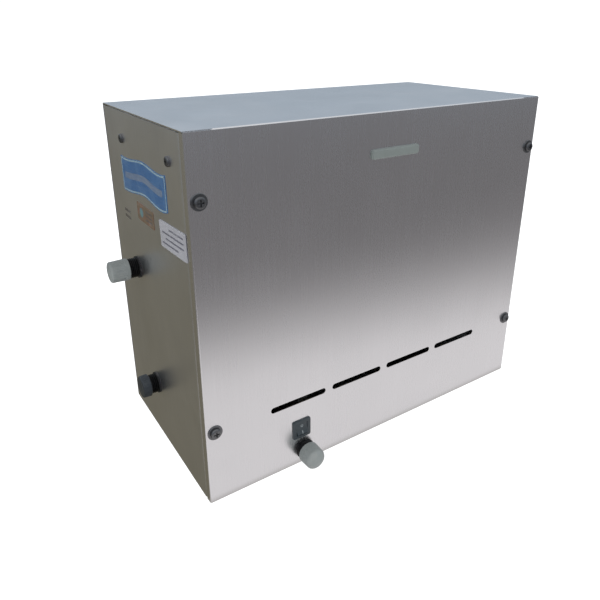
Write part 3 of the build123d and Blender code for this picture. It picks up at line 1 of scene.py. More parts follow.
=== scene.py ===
import json
import math

import bpy
from mathutils import Matrix, Vector
from mathutils.bvhtree import BVHTree


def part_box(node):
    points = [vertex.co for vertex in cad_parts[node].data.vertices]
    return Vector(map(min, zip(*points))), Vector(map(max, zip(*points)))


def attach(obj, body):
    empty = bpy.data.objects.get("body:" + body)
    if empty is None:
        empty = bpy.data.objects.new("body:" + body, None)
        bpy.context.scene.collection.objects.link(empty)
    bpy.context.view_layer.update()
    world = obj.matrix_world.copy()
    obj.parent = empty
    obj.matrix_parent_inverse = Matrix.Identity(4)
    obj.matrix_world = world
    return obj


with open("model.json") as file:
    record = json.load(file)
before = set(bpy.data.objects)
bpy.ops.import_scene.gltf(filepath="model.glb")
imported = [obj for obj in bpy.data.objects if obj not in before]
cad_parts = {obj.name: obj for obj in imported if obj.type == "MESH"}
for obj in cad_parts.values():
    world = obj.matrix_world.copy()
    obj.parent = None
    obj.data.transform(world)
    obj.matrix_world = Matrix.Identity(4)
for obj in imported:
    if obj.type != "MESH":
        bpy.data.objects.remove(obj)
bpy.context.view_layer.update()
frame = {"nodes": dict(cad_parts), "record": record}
nodes = frame["nodes"]
scene = bpy.context.scene

# ------------------------------------------------------------------ camera
SENSOR_MM = 36.0
LENS_MM = 34.584
LENS_SHIFT = (-0.0131667, -0.0898333)  # as shares of the picture's width
CAMERA_AT = (-0.3775, -0.5225, 0.4343)
CAMERA_YAW = math.radians(33.66)
CAMERA_PITCH = math.radians(20.88)


def make_camera():
    """A camera at the solved place, looking along yaw (from +Y towards +X) and down by pitch."""
    data = bpy.data.cameras.new("camera")
    data.sensor_width = SENSOR_MM
    data.lens = LENS_MM
    data.shift_x, data.shift_y = LENS_SHIFT
    data.clip_start = 0.02
    forward = Vector((math.sin(CAMERA_YAW) * math.cos(CAMERA_PITCH),
                      math.cos(CAMERA_YAW) * math.cos(CAMERA_PITCH), -math.sin(CAMERA_PITCH)))
    right = Vector((math.cos(CAMERA_YAW), -math.sin(CAMERA_YAW), 0))
    up = right.cross(forward)
    turn = Matrix((right, up, -forward)).transposed().to_4x4()
    camera = bpy.data.objects.new("camera", data)
    camera.matrix_world = Matrix.Translation(CAMERA_AT) @ turn
    scene.collection.objects.link(camera)
    scene.camera = camera


make_camera()


# ------------------------------------------------------------------ node helpers
def linear(colour):
    """0-255 screen colour to the linear colour the shaders take."""
    steps = [c / 255 for c in colour]
    return tuple(s / 12.92 if s <= 0.04045 else ((s + 0.055) / 1.055) ** 2.4 for s in steps) + (1.0,)


def scaled(colour, factor):
    """A linear colour made darker or lighter, and kept within 1."""
    return tuple(min(1.0, c * factor) for c in colour[:3]) + (1.0,)


FLAT_COSINE, SHARP_COSINE = 0.995, 0.86  # how far an edge's rounded normal leans from the face's


class Graph:
    """A material's node tree, with short names for the nodes that the finishes below use."""

    def __init__(self, name, shader="ShaderNodeBsdfPrincipled"):
        self.material = bpy.data.materials.new(name)
        self.material.use_nodes = True
        self.tree = self.material.node_tree
        self.tree.nodes.clear()
        self.shader = self.add(shader)
        self.output = self.add("ShaderNodeOutputMaterial")
        self.link(self.shader.outputs[0], self.output.inputs[0])
        self.place = self.add("ShaderNodeTexCoord").outputs["Object"]

    def add(self, kind, **settings):
        node = self.tree.nodes.new(kind)
        for key, value in settings.items():
            setattr(node, key, value)
        return node

    def link(self, a, b):
        self.tree.links.new(a, b)

    def feed(self, socket, value):
        """Links a socket's output, or sets a plain value."""
        if isinstance(value, bpy.types.NodeSocket):
            self.link(value, socket)
        else:
            socket.default_value = value

    def stretch(self, scale):
        """Object coordinates times a scale for each axis."""
        node = self.add("ShaderNodeVectorMath", operation="MULTIPLY")
        self.link(self.place, node.inputs[0])
        node.inputs[1].default_value = scale
        return node.outputs[0]

    def noise(self, scale, detail=3.0, rough=0.55, stretch=None, distortion=0.0):
        node = self.add("ShaderNodeTexNoise")
        self.link(self.stretch(stretch) if stretch else self.place, node.inputs["Vector"])
        node.inputs["Scale"].default_value = scale
        node.inputs["Detail"].default_value = detail
        node.inputs["Roughness"].default_value = rough
        node.inputs["Distortion"].default_value = distortion
        return node.outputs["Fac"]

    def cells(self, scale):
        node = self.add("ShaderNodeTexVoronoi")
        self.link(self.place, node.inputs["Vector"])
        node.inputs["Scale"].default_value = scale
        return node

    def math(self, operation, a, b=0.0, c=0.0):
        node = self.add("ShaderNodeMath", operation=operation)
        for socket, value in zip(node.inputs, (a, b, c)):
            self.feed(socket, value)
        return node.outputs[0]

    def ranged(self, value, low, high, to_low=0.0, to_high=1.0, smooth=False):
        node = self.add("ShaderNodeMapRange", interpolation_type="SMOOTHSTEP" if smooth else "LINEAR")
        for socket, item in zip(node.inputs, (value, low, high, to_low, to_high)):
            self.feed(socket, item)
        return node.outputs[0]

    def mix(self, factor, a, b):
        node = self.add("ShaderNodeMix", data_type="RGBA")
        self.feed(node.inputs[0], factor)
        self.feed(node.inputs[6], a)
        self.feed(node.inputs[7], b)
        return node.outputs[2]

    def axis(self, name):
        node = self.add("ShaderNodeSeparateXYZ")
        self.link(self.place, node.inputs[0])
        return node.outputs[name]

    def bump(self, height, depth):
        node = self.add("ShaderNodeBump")
        node.inputs["Strength"].default_value = 1.0
        node.inputs["Distance"].default_value = depth
        self.link(height, node.inputs["Height"])
        return node.outputs[0]

    def edges(self, radius):
        """0 on flat faces, rising to 1 within radius, in metres, of a sharp edge."""
        bevel = self.add("ShaderNodeBevel", samples=4)
        bevel.inputs["Radius"].default_value = radius
        flat = self.add("ShaderNodeNewGeometry")
        dot = self.add("ShaderNodeVectorMath", operation="DOT_PRODUCT")
        self.link(bevel.outputs[0], dot.inputs[0])
        self.link(flat.outputs["Normal"], dot.inputs[1])
        return self.ranged(dot.outputs["Value"], FLAT_COSINE, SHARP_COSINE, smooth=True)


# ------------------------------------------------------------------ finishes
def metal(name, colour, roughness, grain=None, grain_depth=1.2e-6, grain_fade=0.05, blotch=0.05,
          blotch_size=14.0, spread=0.04, edge=1.12, smudge=0.03):
    """Bare or plated metal: grain is the stretch of the brushing, blotch the colour's variation,
    spread and smudge the roughness's, and edge how much lighter the worn edges are."""
    g = Graph(name)
    cloud = g.noise(blotch_size, detail=4.0, distortion=0.4)
    tone = g.mix(g.ranged(cloud, 0.3, 0.7), scaled(colour, 1 - blotch), scaled(colour, 1 + blotch))
    fine = g.noise(1.0, detail=5.0, rough=0.7, stretch=grain or (900, 900, 900))
    tone = g.mix(g.ranged(fine, 0.35, 0.65, 0.0, grain_fade), tone, scaled(colour, 0.55))
    worn = g.math("MULTIPLY", g.edges(0.0009), g.ranged(g.noise(160), 0.35, 0.6, 0.35, 0.9))
    tone = g.mix(worn, tone, scaled(colour, edge))
    g.link(tone, g.shader.inputs["Base Color"])
    g.shader.inputs["Metallic"].default_value = 1.0
    film = g.ranged(g.noise(7.0, detail=5.0, rough=0.62, distortion=1.2), 0.42, 0.72, 0.0, smudge)
    base = g.ranged(fine, 0.3, 0.7, roughness - spread, roughness + spread)
    g.link(g.math("ADD", base, film), g.shader.inputs["Roughness"])
    g.link(g.bump(fine, grain_depth), g.shader.inputs["Normal"])
    return g.material


def moulded(name, colour, roughness, blotch=0.08, texture=1500.0, depth=6e-6, worn=None, sheen_level=0.5,
            dust=0.0):
    """Moulded plastic or rubber with a fine texture, slightly rubbed at its edges."""
    g = Graph(name)
    cloud = g.noise(45.0, detail=4.0)
    tone = g.mix(g.ranged(cloud, 0.3, 0.7), scaled(colour, 1 - blotch), scaled(colour, 1 + blotch))
    speck = g.noise(texture, detail=2.0)
    tone = g.mix(g.ranged(speck, 0.45, 0.7, 0.0, 0.16), tone, scaled(colour, 0.6))
    if dust:
        settled = g.ranged(g.noise(110.0, detail=6.0), 0.5, 0.75, 0.0, dust)
        tone = g.mix(settled, tone, (0.45, 0.43, 0.39, 1.0))
    rub = g.math("MULTIPLY", g.edges(0.0007), g.ranged(g.noise(220.0), 0.35, 0.65, 0.2, 0.9))
    tone = g.mix(rub, tone, worn or scaled(colour, 1.5))
    g.link(tone, g.shader.inputs["Base Color"])
    g.link(g.ranged(cloud, 0.3, 0.7, roughness - 0.08, roughness + 0.08), g.shader.inputs["Roughness"])
    g.shader.inputs["Specular IOR Level"].default_value = sheen_level
    g.link(g.bump(speck, depth), g.shader.inputs["Normal"])
    return g.material


def galvanised(name, colour):
    """Zinc coated sheet: a spangle of crystals over a matt grey."""
    g = Graph(name)
    spangle = g.cells(170.0)
    shade = g.add("ShaderNodeRGBToBW")
    g.link(spangle.outputs["Color"], shade.inputs[0])
    tone = g.mix(shade.outputs[0], scaled(colour, 0.86), scaled(colour, 1.08))
    stain = g.ranged(g.noise(12.0, detail=6.0), 0.5, 0.75, 0.0, 0.35)
    tone = g.mix(stain, tone, scaled(colour, 0.62))
    tone = g.mix(g.edges(0.0008), tone, scaled(colour, 1.2))
    g.link(tone, g.shader.inputs["Base Color"])
    g.shader.inputs["Metallic"].default_value = 0.85
    g.link(g.ranged(shade.outputs[0], 0.2, 0.8, 0.34, 0.52), g.shader.inputs["Roughness"])
    g.link(g.bump(spangle.outputs["Distance"], 8e-6), g.shader.inputs["Normal"])
    return g.material


def cast(name, colour):
    """Die cast alloy: a sandy skin, lighter at its sharp edges."""
    g = Graph(name)
    grit = g.noise(900.0, detail=3.0)
    cloud = g.noise(40.0, detail=4.0)
    tone = g.mix(g.ranged(cloud, 0.3, 0.7), scaled(colour, 0.85), scaled(colour, 1.1))
    tone = g.mix(g.edges(0.001), tone, scaled(colour, 1.35))
    g.link(tone, g.shader.inputs["Base Color"])
    g.shader.inputs["Metallic"].default_value = 0.9
    g.link(g.ranged(grit, 0.3, 0.7, 0.42, 0.6), g.shader.inputs["Roughness"])
    g.link(g.bump(grit, 4e-5), g.shader.inputs["Normal"])
    return g.material


def heated(name, colour, hot, roughness, grain):
    """Metal that heat has tinted in clouds of straw and blue-brown."""
    g = Graph(name)
    cloud = g.noise(22.0, detail=5.0, distortion=0.8)
    tone = g.mix(g.ranged(cloud, 0.42, 0.62, smooth=True), colour, hot)
    fine = g.noise(1.0, detail=4.0, rough=0.7, stretch=grain)
    tone = g.mix(g.ranged(fine, 0.35, 0.65, 0.0, 0.25), tone, scaled(colour, 0.5))
    tone = g.mix(g.edges(0.0006), tone, scaled(colour, 1.25))
    g.link(tone, g.shader.inputs["Base Color"])
    g.shader.inputs["Metallic"].default_value = 1.0
    g.link(g.ranged(fine, 0.3, 0.7, roughness - 0.06, roughness + 0.1), g.shader.inputs["Roughness"])
    g.link(g.bump(fine, 6e-6), g.shader.inputs["Normal"])
    return g.material


def fibre(name, colour):
    """Pressed ceramic fibre board: tangled strands and soot."""
    g = Graph(name)
    strands = g.noise(1.0, detail=6.0, rough=0.75, stretch=(260, 900, 260), distortion=2.0)
    soot = g.ranged(g.noise(16.0, detail=5.0), 0.5, 0.75, 0.0, 0.4)
    tone = g.mix(g.ranged(strands, 0.3, 0.7), scaled(colour, 0.85), scaled(colour, 1.05))
    tone = g.mix(soot, tone, (0.32, 0.27, 0.22, 1.0))
    g.link(tone, g.shader.inputs["Base Color"])
    g.link(g.ranged(strands, 0.3, 0.7, 0.82, 0.98), g.shader.inputs["Roughness"])
    g.link(g.bump(strands, 1.2e-4), g.shader.inputs["Normal"])
    return g.material


def circuit(name):
    """Green solder mask with fine tracks across and along the board."""
    g = Graph(name)
    base = linear((28, 92, 58))
    track = scaled(base, 1.6)
    rows = g.add("ShaderNodeTexBrick", offset=0.37, squash=1.0)
    turned = g.add("ShaderNodeCombineXYZ")
    g.link(g.axis("Y"), turned.inputs[0])
    g.link(g.axis("Z"), turned.inputs[1])
    g.link(turned.outputs[0], rows.inputs["Vector"])
    rows.inputs["Scale"].default_value = 130.0
    rows.inputs["Mortar Size"].default_value = 0.07
    rows.inputs["Color1"].default_value = base
    rows.inputs["Color2"].default_value = scaled(base, 0.85)
    rows.inputs["Mortar"].default_value = track
    g.link(g.mix(g.ranged(g.noise(60.0), 0.4, 0.6, 0.0, 0.35), rows.outputs["Color"], base),
           g.shader.inputs["Base Color"])
    g.link(g.ranged(g.noise(300.0), 0.3, 0.7, 0.26, 0.42), g.shader.inputs["Roughness"])
    g.link(g.bump(rows.outputs["Fac"], 3e-5), g.shader.inputs["Normal"])
    return g.material


def printed_film(name, colour, second, patch_size, wear):
    """Printed label film under a thin coat: two inks in soft patches, scuffs and slight waves."""
    g = Graph(name)
    patches = g.ranged(g.noise(patch_size, detail=2.0, distortion=0.5), 0.42, 0.6, 0.0, 0.6, smooth=True)
    tone = g.mix(patches, colour, second)
    scuffs = g.noise(1.0, detail=5.0, rough=0.7, stretch=(300, 60, 700))
    tone = g.mix(g.ranged(scuffs, 0.55, 0.72, 0.0, wear), tone, (0.62, 0.63, 0.62, 1.0))
    g.link(tone, g.shader.inputs["Base Color"])
    g.link(g.ranged(scuffs, 0.35, 0.7, 0.32, 0.52), g.shader.inputs["Roughness"])
    g.shader.inputs["Coat Weight"].default_value = 0.25
    g.shader.inputs["Coat Roughness"].default_value = 0.2
    g.link(g.bump(g.noise(260.0), 1.2e-5), g.shader.inputs["Normal"])
    return g.material


STEEL = (0.80, 0.79, 0.80, 1.0)
finishes = {
    "satin_steel": metal("satin_steel", (0.66, 0.67, 0.69, 1.0), 0.34, grain=(40, 900, 900),
                         grain_depth=4e-6, grain_fade=0.16, blotch=0.05),
    "galvanised": galvanised("galvanised", (0.56, 0.58, 0.60, 1.0)),
    "zinc_screw": metal("zinc_screw", (0.17, 0.17, 0.175, 1.0), 0.42, blotch=0.18, blotch_size=260.0,
                        spread=0.1, edge=1.3, smudge=0.15),
    "badge": moulded("badge", linear((110, 116, 113)), 0.38, blotch=0.06, texture=900.0, depth=3e-6,
                     worn=linear((118, 124, 122))),
    "banner": printed_film("banner", linear((30, 82, 130)), linear((58, 98, 138)), 55.0, wear=0.12),
    "service": printed_film("service", linear((98, 82, 64)), linear((112, 72, 54)), 150.0, wear=0.25),
    "plate": moulded("plate", linear((152, 151, 156)), 0.42, blotch=0.05, texture=1100.0, depth=2e-6,
                     worn=linear((190, 189, 194))),
    "dark_plastic": moulded("dark_plastic", linear((44, 51, 55)), 0.45, worn=linear((60, 68, 73))),
    "black_plastic": moulded("black_plastic", linear((9, 9, 10)), 0.42, worn=linear((20, 20, 21)), dust=0.02,
                             sheen_level=0.25),
    "pale_cap": moulded("pale_cap", linear((124, 128, 126)), 0.5, blotch=0.12, worn=linear((158, 163, 161)),
                        dust=0.12),
    "dark_cap": moulded("dark_cap", linear((41, 46, 51)), 0.48, blotch=0.12, worn=linear((72, 78, 84)),
                        dust=0.05),
    "rubber": moulded("rubber", linear((34, 34, 35)), 0.75, texture=700.0, depth=1.5e-5, dust=0.15,
                      sheen_level=0.3),
    "copper": heated("copper", (0.40, 0.19, 0.12, 1.0), (0.20, 0.10, 0.07, 1.0), 0.38, (500, 500, 500)),
    "brass": metal("brass", (0.76, 0.58, 0.28, 1.0), 0.3, blotch=0.12, blotch_size=60.0, spread=0.1,
                   grain_depth=4e-6, grain_fade=0.2, edge=1.2, smudge=0.12),
    "cast": cast("cast", (0.47, 0.48, 0.49, 1.0)),
    "white_board": fibre("white_board", (0.74, 0.72, 0.67, 1.0)),
    "ceramic": moulded("ceramic", linear((214, 208, 196)), 0.3, blotch=0.06, depth=3e-6, dust=0.3),
    "blue_coil": moulded("blue_coil", linear((38, 74, 128)), 0.4, dust=0.1),
    "grey_plastic": moulded("grey_plastic", linear((116, 119, 121)), 0.5, dust=0.15),
    "green_board": circuit("green_board"),
    "components": moulded("components", linear((44, 46, 52)), 0.35, blotch=0.3, worn=linear((120, 124, 130))),
    "laminations": heated("laminations", (0.30, 0.29, 0.29, 1.0), (0.42, 0.27, 0.17, 1.0), 0.45,
                          (60, 60, 2400)),
    "lead": moulded("lead", linear((28, 28, 30)), 0.5, blotch=0.15),
    "motor": metal("motor", (0.23, 0.235, 0.25, 1.0), 0.42, blotch=0.12, blotch_size=30.0, spread=0.1,
                   grain_depth=6e-6, edge=1.7, smudge=0.1),
}
burnt_steel = heated("burnt_steel", (0.60, 0.59, 0.58, 1.0), (0.38, 0.26, 0.20, 1.0), 0.34, (900, 40, 900))

# Polished sheet, with the mill's grain along each panel's length.
polished = {
    "left_side_panel": metal("polished_steel_left", STEEL, 0.33, grain=(900, 900, 14), grain_fade=0.07,
                             grain_depth=9e-7),
    "right_side_panel": metal("polished_steel_right", STEEL, 0.27, grain=(900, 900, 14), grain_fade=0.07,
                              grain_depth=9e-7),
    "top_panel": metal("polished_steel_top", STEEL, 0.2, grain=(10, 700, 700), grain_fade=0.08,
                       grain_depth=9e-7, smudge=0.06),
    "front_panel": metal("polished_steel_front", STEEL, 0.26, grain=(700, 700, 10), grain_fade=0.015,
                         grain_depth=1e-7, blotch=0.015, spread=0.02, smudge=0.02),
}


def dress(piece, material):
    piece.data.materials.clear()
    piece.data.materials.append(material)
    for polygon in piece.data.polygons:
        polygon.material_index = 0


for subpart in frame["record"]["subparts"]:
    name, slot_name = subpart["node"], subpart["material_slot"]
    dress(nodes[name], polished.get(name) or finishes[slot_name])
dress(nodes["burner_bars"], burnt_steel)


# ------------------------------------------------------------------ added pieces
def piece(name, vertices, faces, material, body, slot_name):
    """A mesh piece in the row frame that rides on a CAD body."""
    mesh = bpy.data.meshes.new(name)
    mesh.from_pydata([tuple(v) for v in vertices], [], faces)
    mesh.validate()
    mesh.update()
    made = bpy.data.objects.new(name, mesh)
    scene.collection.objects.link(made)
    made.data.materials.append(material)
    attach(made, body)


def slab(outlines, origin, across, up, out, thickness):
    """Vertices and faces of flat strips: each outline is a closed row of (across, up) points."""
    vertices, faces = [], []
    origin, across, up, out = Vector(origin), Vector(across), Vector(up), Vector(out)
    for outline in outlines:
        start, count = len(vertices), len(outline)
        for depth in (0.0, thickness):
            vertices += [origin + across * a + up * b + out * depth for a, b in outline]
        back = list(range(start, start + count))
        front = [i + count for i in back]
        faces += [back[::-1], front]
        for i in range(count):
            j = (i + 1) % count
            faces.append([back[i], back[j], front[j], front[i]])
    return vertices, faces


def strip(points, half_width):
    """A closed outline that follows a row of (a, b) points at half_width on each side."""
    upper = [(a, b + half_width) for a, b in points]
    lower = [(a, b - half_width) for a, b in points]
    return lower + upper[::-1]


def box_outline(a0, a1, b0, b1):
    return [(a0, b0), (a1, b0), (a1, b1), (a0, b1)]


def circle_outline(radius, a=0.0, b=0.0, sides=32):
    turns = [t * math.tau / sides for t in range(sides)]
    return [(a + radius * math.cos(turn), b + radius * math.sin(turn)) for turn in turns]


LEFTWARDS = (-1, 0, 0)  # out of the casing's left side
PRINT = 0.00008  # thickness of printed ink
SUNK = PRINT / 4  # how far ink sits in what it is printed on
FLAT = 0.00002  # points nearer than this in x or y count as level


def print_on(name, label, outlines, material, slot_name):
    """Ink on a flat label, or on the sheet itself, of the casing's left side: outlines are (y, z)."""
    low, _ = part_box(label)
    vertices, faces = slab(outlines, (low.x + SUNK, 0, 0), (0, 1, 0), (0, 0, 1), LEFTWARDS, PRINT)
    piece(name, vertices, faces, material, "casing", slot_name)


pale_ink = printed_film("pale_ink", linear((128, 150, 160)), linear((96, 126, 150)), 120.0, wear=0.1)
grey_ink = printed_film("grey_ink", linear((82, 82, 94)), linear((104, 104, 116)), 200.0, wear=0.3)
teal_ink = printed_film("teal_ink", linear((84, 118, 122)), linear((66, 100, 116)), 200.0, wear=0.2)
wave_ink = printed_film("wave_ink", linear((84, 102, 128)), linear((98, 112, 130)), 90.0, wear=0.1)
dark_ink = printed_film("dark_ink", linear((62, 58, 60)), linear((84, 76, 70)), 200.0, wear=0.3)


BANNER_ROWS = 61
BANNER_END = 0.012  # share of the banner's length left bare at each end
BORDER_INSET = 0.0016
BORDER_HALF = 0.0008
WAVE_HALF = 0.0032
WAVE_SKIP = 4  # rows that the middle strip stops short of the border


def banner_edges():
    """Rows of (y, lower z, upper z) along the banner's outer face, read from its mesh."""
    mesh = nodes["banner_label"].data
    low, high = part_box("banner_label")
    ends = [[mesh.vertices[i].co for i in edge.vertices] for edge in mesh.edges]
    outer = [(a, b) for a, b in ends if max(a.x, b.x) < low.x + FLAT and abs(a.y - b.y) > FLAT]
    rows = []
    for step in range(BANNER_ROWS):
        share = BANNER_END + (1 - 2 * BANNER_END) * step / (BANNER_ROWS - 1)
        y = low.y + (high.y - low.y) * share
        heights = [a.z + (b.z - a.z) * (y - a.y) / (b.y - a.y)
                   for a, b in outer if (a.y - y) * (b.y - y) <= 0]
        rows.append((y, min(heights), max(heights)))
    return rows


def build_banner():
    """A pale border just inside the banner's outline and a paler strip along its middle."""
    rows = banner_edges()
    lower = [(y, low + BORDER_INSET) for y, low, high in rows]
    upper = [(y, high - BORDER_INSET) for y, low, high in rows]
    ends = [box_outline(y - BORDER_HALF, y + BORDER_HALF, low + BORDER_INSET, high - BORDER_INSET)
            for y, low, high in (rows[0], rows[-1])]
    border = [strip(lower, BORDER_HALF), strip(upper, BORDER_HALF), *ends]
    print_on("banner_border", "banner_label", border, pale_ink, "banner")
    middle = [(y, (low + high) / 2) for y, low, high in rows[WAVE_SKIP:-WAVE_SKIP]]
    print_on("banner_wave", "banner_label", [strip(middle, WAVE_HALF)], wave_ink, "banner")


build_banner()

PLATE_TILT = math.radians(2.5)
PLATE_BARS = ((-0.84, 0.24), (-0.84, 0.8), (-0.84, 0.56), (-0.4, 0.84))  # ends, as shares of the half width
PLATE_TOP_ROW, PLATE_PITCH = 0.6, 0.4  # as shares of the half height
PLATE_BAR_HALF = 0.0008


def build_plate_lines():
    """Rows of plain bars where the rating plate is printed, turned with the plate."""
    low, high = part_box("rating_plate")
    centre = Vector((low.x + SUNK, (low.y + high.y) / 2, (low.z + high.z) / 2))
    across = Vector((0, math.cos(PLATE_TILT), -math.sin(PLATE_TILT)))
    up = Vector((0, math.sin(PLATE_TILT), math.cos(PLATE_TILT)))
    offsets = [v.co - centre for v in nodes["rating_plate"].data.vertices]
    half_width, half_height = max(o.dot(across) for o in offsets), max(o.dot(up) for o in offsets)
    outlines = []
    for row, (start, end) in enumerate(PLATE_BARS):
        middle = half_height * (PLATE_TOP_ROW - PLATE_PITCH * row)
        outlines.append(box_outline(half_width * start, half_width * end,
                                    middle - PLATE_BAR_HALF, middle + PLATE_BAR_HALF))
    vertices, faces = slab(outlines, centre, across, up, LEFTWARDS, PRINT)
    piece("plate_lines", vertices, faces, grey_ink, "casing", "plate")


build_plate_lines()

SERVICE_DOT_RADIUS = 0.0048
SERVICE_DOT_INSET = 0.0125  # from the label's rear edge to the dot's centre
SERVICE_BAR_ENDS = (0.004, 0.022)  # from the label's front edge
SERVICE_BAR_HALF = 0.0009
SERVICE_BAR_PITCH = 0.0042


def build_service_marks():
    """A round dot and three bars on the small label."""
    low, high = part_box("service_label")
    middle_z = (low.z + high.z) / 2
    dot = circle_outline(SERVICE_DOT_RADIUS, high.y - SERVICE_DOT_INSET, middle_z)
    print_on("service_dot", "service_label", [dot], teal_ink, "service")
    start, end = (low.y + inset for inset in SERVICE_BAR_ENDS)
    heights = [middle_z + SERVICE_BAR_PITCH * row for row in (-1, 0, 1)]
    bars = [box_outline(start, end, z - SERVICE_BAR_HALF, z + SERVICE_BAR_HALF) for z in heights]
    print_on("service_bars", "service_label", bars, dark_ink, "service")


SIDE_MARK_Y = 0.0605
SIDE_MARK_Z = (0.2482, 0.2548)
SIDE_MARK_HALVES = (0.009, 0.0014)  # half its length and half its height


def build_side_marks():
    """Two short dark bars near the rear edge of the left side."""
    half_y, half_z = SIDE_MARK_HALVES
    bars = [box_outline(SIDE_MARK_Y - half_y, SIDE_MARK_Y + half_y, z - half_z, z + half_z)
            for z in SIDE_MARK_Z]
    print_on("side_marks", "left_side_panel", bars, dark_ink, "service")


build_side_marks()
build_service_marks()


def surface_point(node, start, direction):
    """Where a line from start first meets a CAD node, and the surface's normal there."""
    mesh = nodes[node].data
    tree = BVHTree.FromPolygons([v.co for v in mesh.vertices], [p.vertices for p in mesh.polygons])
    hit, normal, _, _ = tree.ray_cast(Vector(start), Vector(direction))
    return hit, normal


ROCKER_BAR_HALVES = (0.0004, 0.0016)
ROCKER_RING_RADIUS = 0.0015
ROCKER_HOLE = 0.6  # share of the ring's radius
ROCKER_MARK_THICKNESS = 0.0003
ROCKER_MARK_SUNK = 0.0001
grey_mark = moulded("white_mark", linear((120, 126, 128)), 0.5)


def build_rocker_marks():
    """A raised bar and a raised ring on the two halves of the rocker."""
    low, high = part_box("switch_rocker")
    half_a, half_b = ROCKER_BAR_HALVES
    ring = circle_outline(ROCKER_RING_RADIUS)
    hole = [(a * ROCKER_HOLE, b * ROCKER_HOLE) for a, b in ring]
    arcs = [[ring[t - 1], ring[t], hole[t], hole[t - 1]] for t in range(len(ring))]
    marks = (("rocker_bar", 0.24, [box_outline(-half_a, half_a, -half_b, half_b)]),
             ("rocker_ring", 0.76, arcs))
    for name, share, shapes in marks:
        start = ((low.x + high.x) / 2, low.y - 0.05, low.z + (high.z - low.z) * share)
        hit, normal = surface_point("switch_rocker", start, (0, 1, 0))
        if normal.y > 0:
            normal = -normal
        up = Vector((1, 0, 0)).cross(normal)
        if up.z < 0:
            up = -up
        vertices, faces = slab(shapes, hit - normal * ROCKER_MARK_SUNK, (1, 0, 0), up, normal,
                               ROCKER_MARK_THICKNESS)
        piece(name, vertices, faces, grey_mark, "rocker", "dark_plastic")


build_rocker_marks()


# ------------------------------------------------------------------ floor, backdrop, light
FLOOR_RADIUS = 9.0
FLOOR_Z, CARD_Z = -0.0004, -0.0008  # just under the casing's base, and just under the floor


def glow(name, strength=1.0):
    """A material that gives out light, white unless its colour is linked, for the studio."""
    g = Graph(name, shader="ShaderNodeEmission")
    g.shader.inputs["Color"].default_value = (1, 1, 1, 1)
    g.shader.inputs["Strength"].default_value = strength
    return g


def disc(name, height, material, sides=96):
    """A flat round sheet at a height, centred on the origin."""
    mesh = bpy.data.meshes.new(name)
    ring = [(a, b, height) for a, b in circle_outline(FLOOR_RADIUS, sides=sides)]
    mesh.from_pydata(ring, [], [list(range(sides))])
    made = bpy.data.objects.new(name, mesh)
    made.data.materials.append(material)
    scene.collection.objects.link(made)
    return made


def build_floor():
    """A pale floor, lit well enough to stay white, with only a trace of the object's shadow."""
    g = glow("floor", strength=0.86)
    diffuse = g.add("ShaderNodeBsdfDiffuse")
    diffuse.inputs["Color"].default_value = (0.5, 0.5, 0.5, 1)
    both = g.add("ShaderNodeAddShader")
    g.link(g.shader.outputs[0], both.inputs[0])
    g.link(diffuse.outputs[0], both.inputs[1])
    g.link(both.outputs[0], g.output.inputs[0])
    floor = disc("floor", FLOOR_Z, g.material)
    floor.visible_glossy = False


DOME_SIDES, DOME_RINGS = 64, 16
DOME_RADIUS = 8.9  # a little less than the floor's
DOME_SUNK = 0.01  # how far its rim lies under the floor


def build_backdrop():
    """A white curved wall far behind everything, which only the camera sees."""
    mesh = bpy.data.meshes.new("backdrop")
    vertices, faces = [], []
    for r in range(DOME_RINGS + 1):
        rise = math.pi / 2 * r / DOME_RINGS
        height = DOME_RADIUS * math.sin(rise) - DOME_SUNK
        ring = circle_outline(DOME_RADIUS * math.cos(rise), sides=DOME_SIDES)
        vertices += [(a, b, height) for a, b in ring]
    for r in range(DOME_RINGS):
        for t in range(DOME_SIDES):
            a, b = r * DOME_SIDES + t, r * DOME_SIDES + (t + 1) % DOME_SIDES
            faces.append([a, b, b + DOME_SIDES, a + DOME_SIDES])
    mesh.from_pydata(vertices, [], faces)
    made = bpy.data.objects.new("backdrop", mesh)
    made.data.materials.append(glow("backdrop", strength=1.05).material)
    scene.collection.objects.link(made)
    made.visible_diffuse = made.visible_glossy = made.visible_shadow = made.visible_transmission = False


def fill_ramp(ramp, stops):
    """Sets a colour ramp's stops from rows of (position, screen colour)."""
    elements = ramp.color_ramp.elements
    for index, (position, colour) in enumerate(stops):
        stop = elements[index] if index < 2 else elements.new(position)
        stop.position = position
        stop.color = linear(colour)


# What the polished sheet mirrors: a card that is light near the front and dark further out.
CARD_LEVELS = ((0.0, 227), (0.2, 208), (0.4, 180), (0.6, 152), (0.8, 128), (1.0, 115))
LIGHT_END = (-0.263, 0.205)  # y where the light part ends: at x = 0, and how much it shifts with x
NEAREST_LIGHT_END = -0.138  # at least 30 mm in front of the casing
DARK_Y = -0.562
DARK_LEFT = (-0.42, -0.6)  # x between which the card turns dark on the left
BESIDE_X = (0.2, 1.2)
BESIDE_NEAR, BESIDE_FAR = (112, 108, 94), (120, 118, 108)  # what the casing's sides mirror
BEHIND_Y = (-0.115, -0.1)  # from the part before the front to the part beside and behind


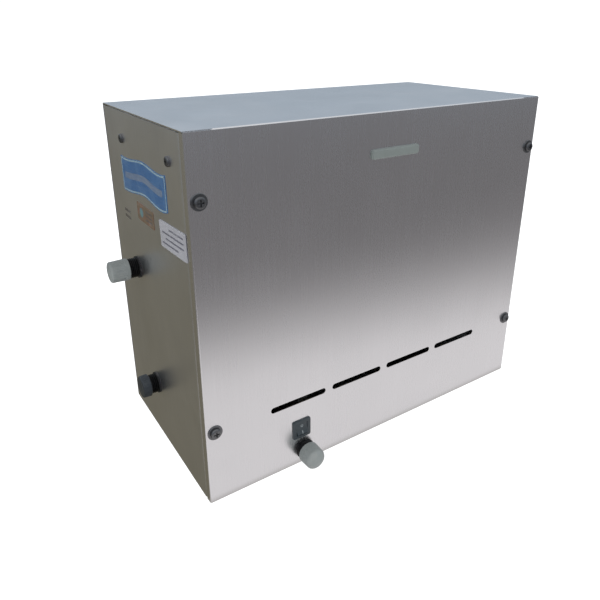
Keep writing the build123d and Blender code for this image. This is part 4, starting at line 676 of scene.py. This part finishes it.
def build_mirror_floor():
    """A card at floor level that only reflections see: light close by, dark further out."""
    g = glow("mirror_floor")
    x, y = g.axis("X"), g.axis("Y")
    light_end = g.math("MULTIPLY_ADD", x, LIGHT_END[1], LIGHT_END[0])
    light_end = g.math("MINIMUM", light_end, NEAREST_LIGHT_END)
    outward = g.math("MAXIMUM", g.ranged(y, light_end, DARK_Y), g.ranged(x, *DARK_LEFT))
    ramp = g.add("ShaderNodeValToRGB")
    g.link(outward, ramp.inputs[0])
    fill_ramp(ramp, [(position, (level, level - 2, level - 1)) for position, level in CARD_LEVELS])
    side = g.mix(g.ranged(g.math("ABSOLUTE", x), *BESIDE_X), linear(BESIDE_NEAR), linear(BESIDE_FAR))
    g.link(g.mix(g.ranged(y, *BEHIND_Y), ramp.outputs["Color"], side), g.shader.inputs["Color"])
    card = disc("mirror_floor", CARD_Z, g.material)
    card.visible_camera = card.visible_diffuse = card.visible_shadow = card.visible_transmission = False


build_floor()
build_backdrop()
build_mirror_floor()

SKY = ((0.0, (140, 152, 163)), (0.12, (160, 173, 186)), (0.35, (196, 206, 216)), (1.0, (250, 250, 250)))


def build_sky():
    """Soft studio light from everywhere above, brighter overhead."""
    world = bpy.data.worlds.new("studio")
    scene.world = world
    world.use_nodes = True
    tree = world.node_tree
    tree.nodes.clear()
    place = tree.nodes.new("ShaderNodeTexCoord")
    split = tree.nodes.new("ShaderNodeSeparateXYZ")
    tree.links.new(place.outputs["Generated"], split.inputs[0])
    ramp = tree.nodes.new("ShaderNodeValToRGB")
    tree.links.new(split.outputs["Z"], ramp.inputs[0])
    fill_ramp(ramp, SKY)
    background = tree.nodes.new("ShaderNodeBackground")
    tree.links.new(ramp.outputs["Color"], background.inputs["Color"])
    output = tree.nodes.new("ShaderNodeOutputWorld")
    tree.links.new(background.outputs[0], output.inputs[0])


build_sky()


def soft_light(name, at, aim, size, power):
    """A square lamp that lights the object but isn't mirrored in it."""
    data = bpy.data.lights.new(name, "AREA")
    data.shape = "SQUARE"
    data.size = size
    data.energy = power
    light = bpy.data.objects.new(name, data)
    light.matrix_world = (Matrix.Translation(at)
                          @ (Vector(aim) - Vector(at)).to_track_quat("-Z", "Y").to_matrix().to_4x4())
    light.visible_glossy = False
    scene.collection.objects.link(light)


soft_light("key", (-1.3, -1.5, 1.9), (-0.1, 0.0, 0.15), 1.2, 22.0)
soft_light("fill", (1.6, -1.2, 1.4), (0.0, 0.0, 0.15), 1.6, 10.0)
soft_light("rim", (0.3, 1.9, 1.5), (0.0, 0.0, 0.2), 1.4, 10.0)

scene.view_settings.view_transform = "Standard"
scene.view_settings.look = "None"
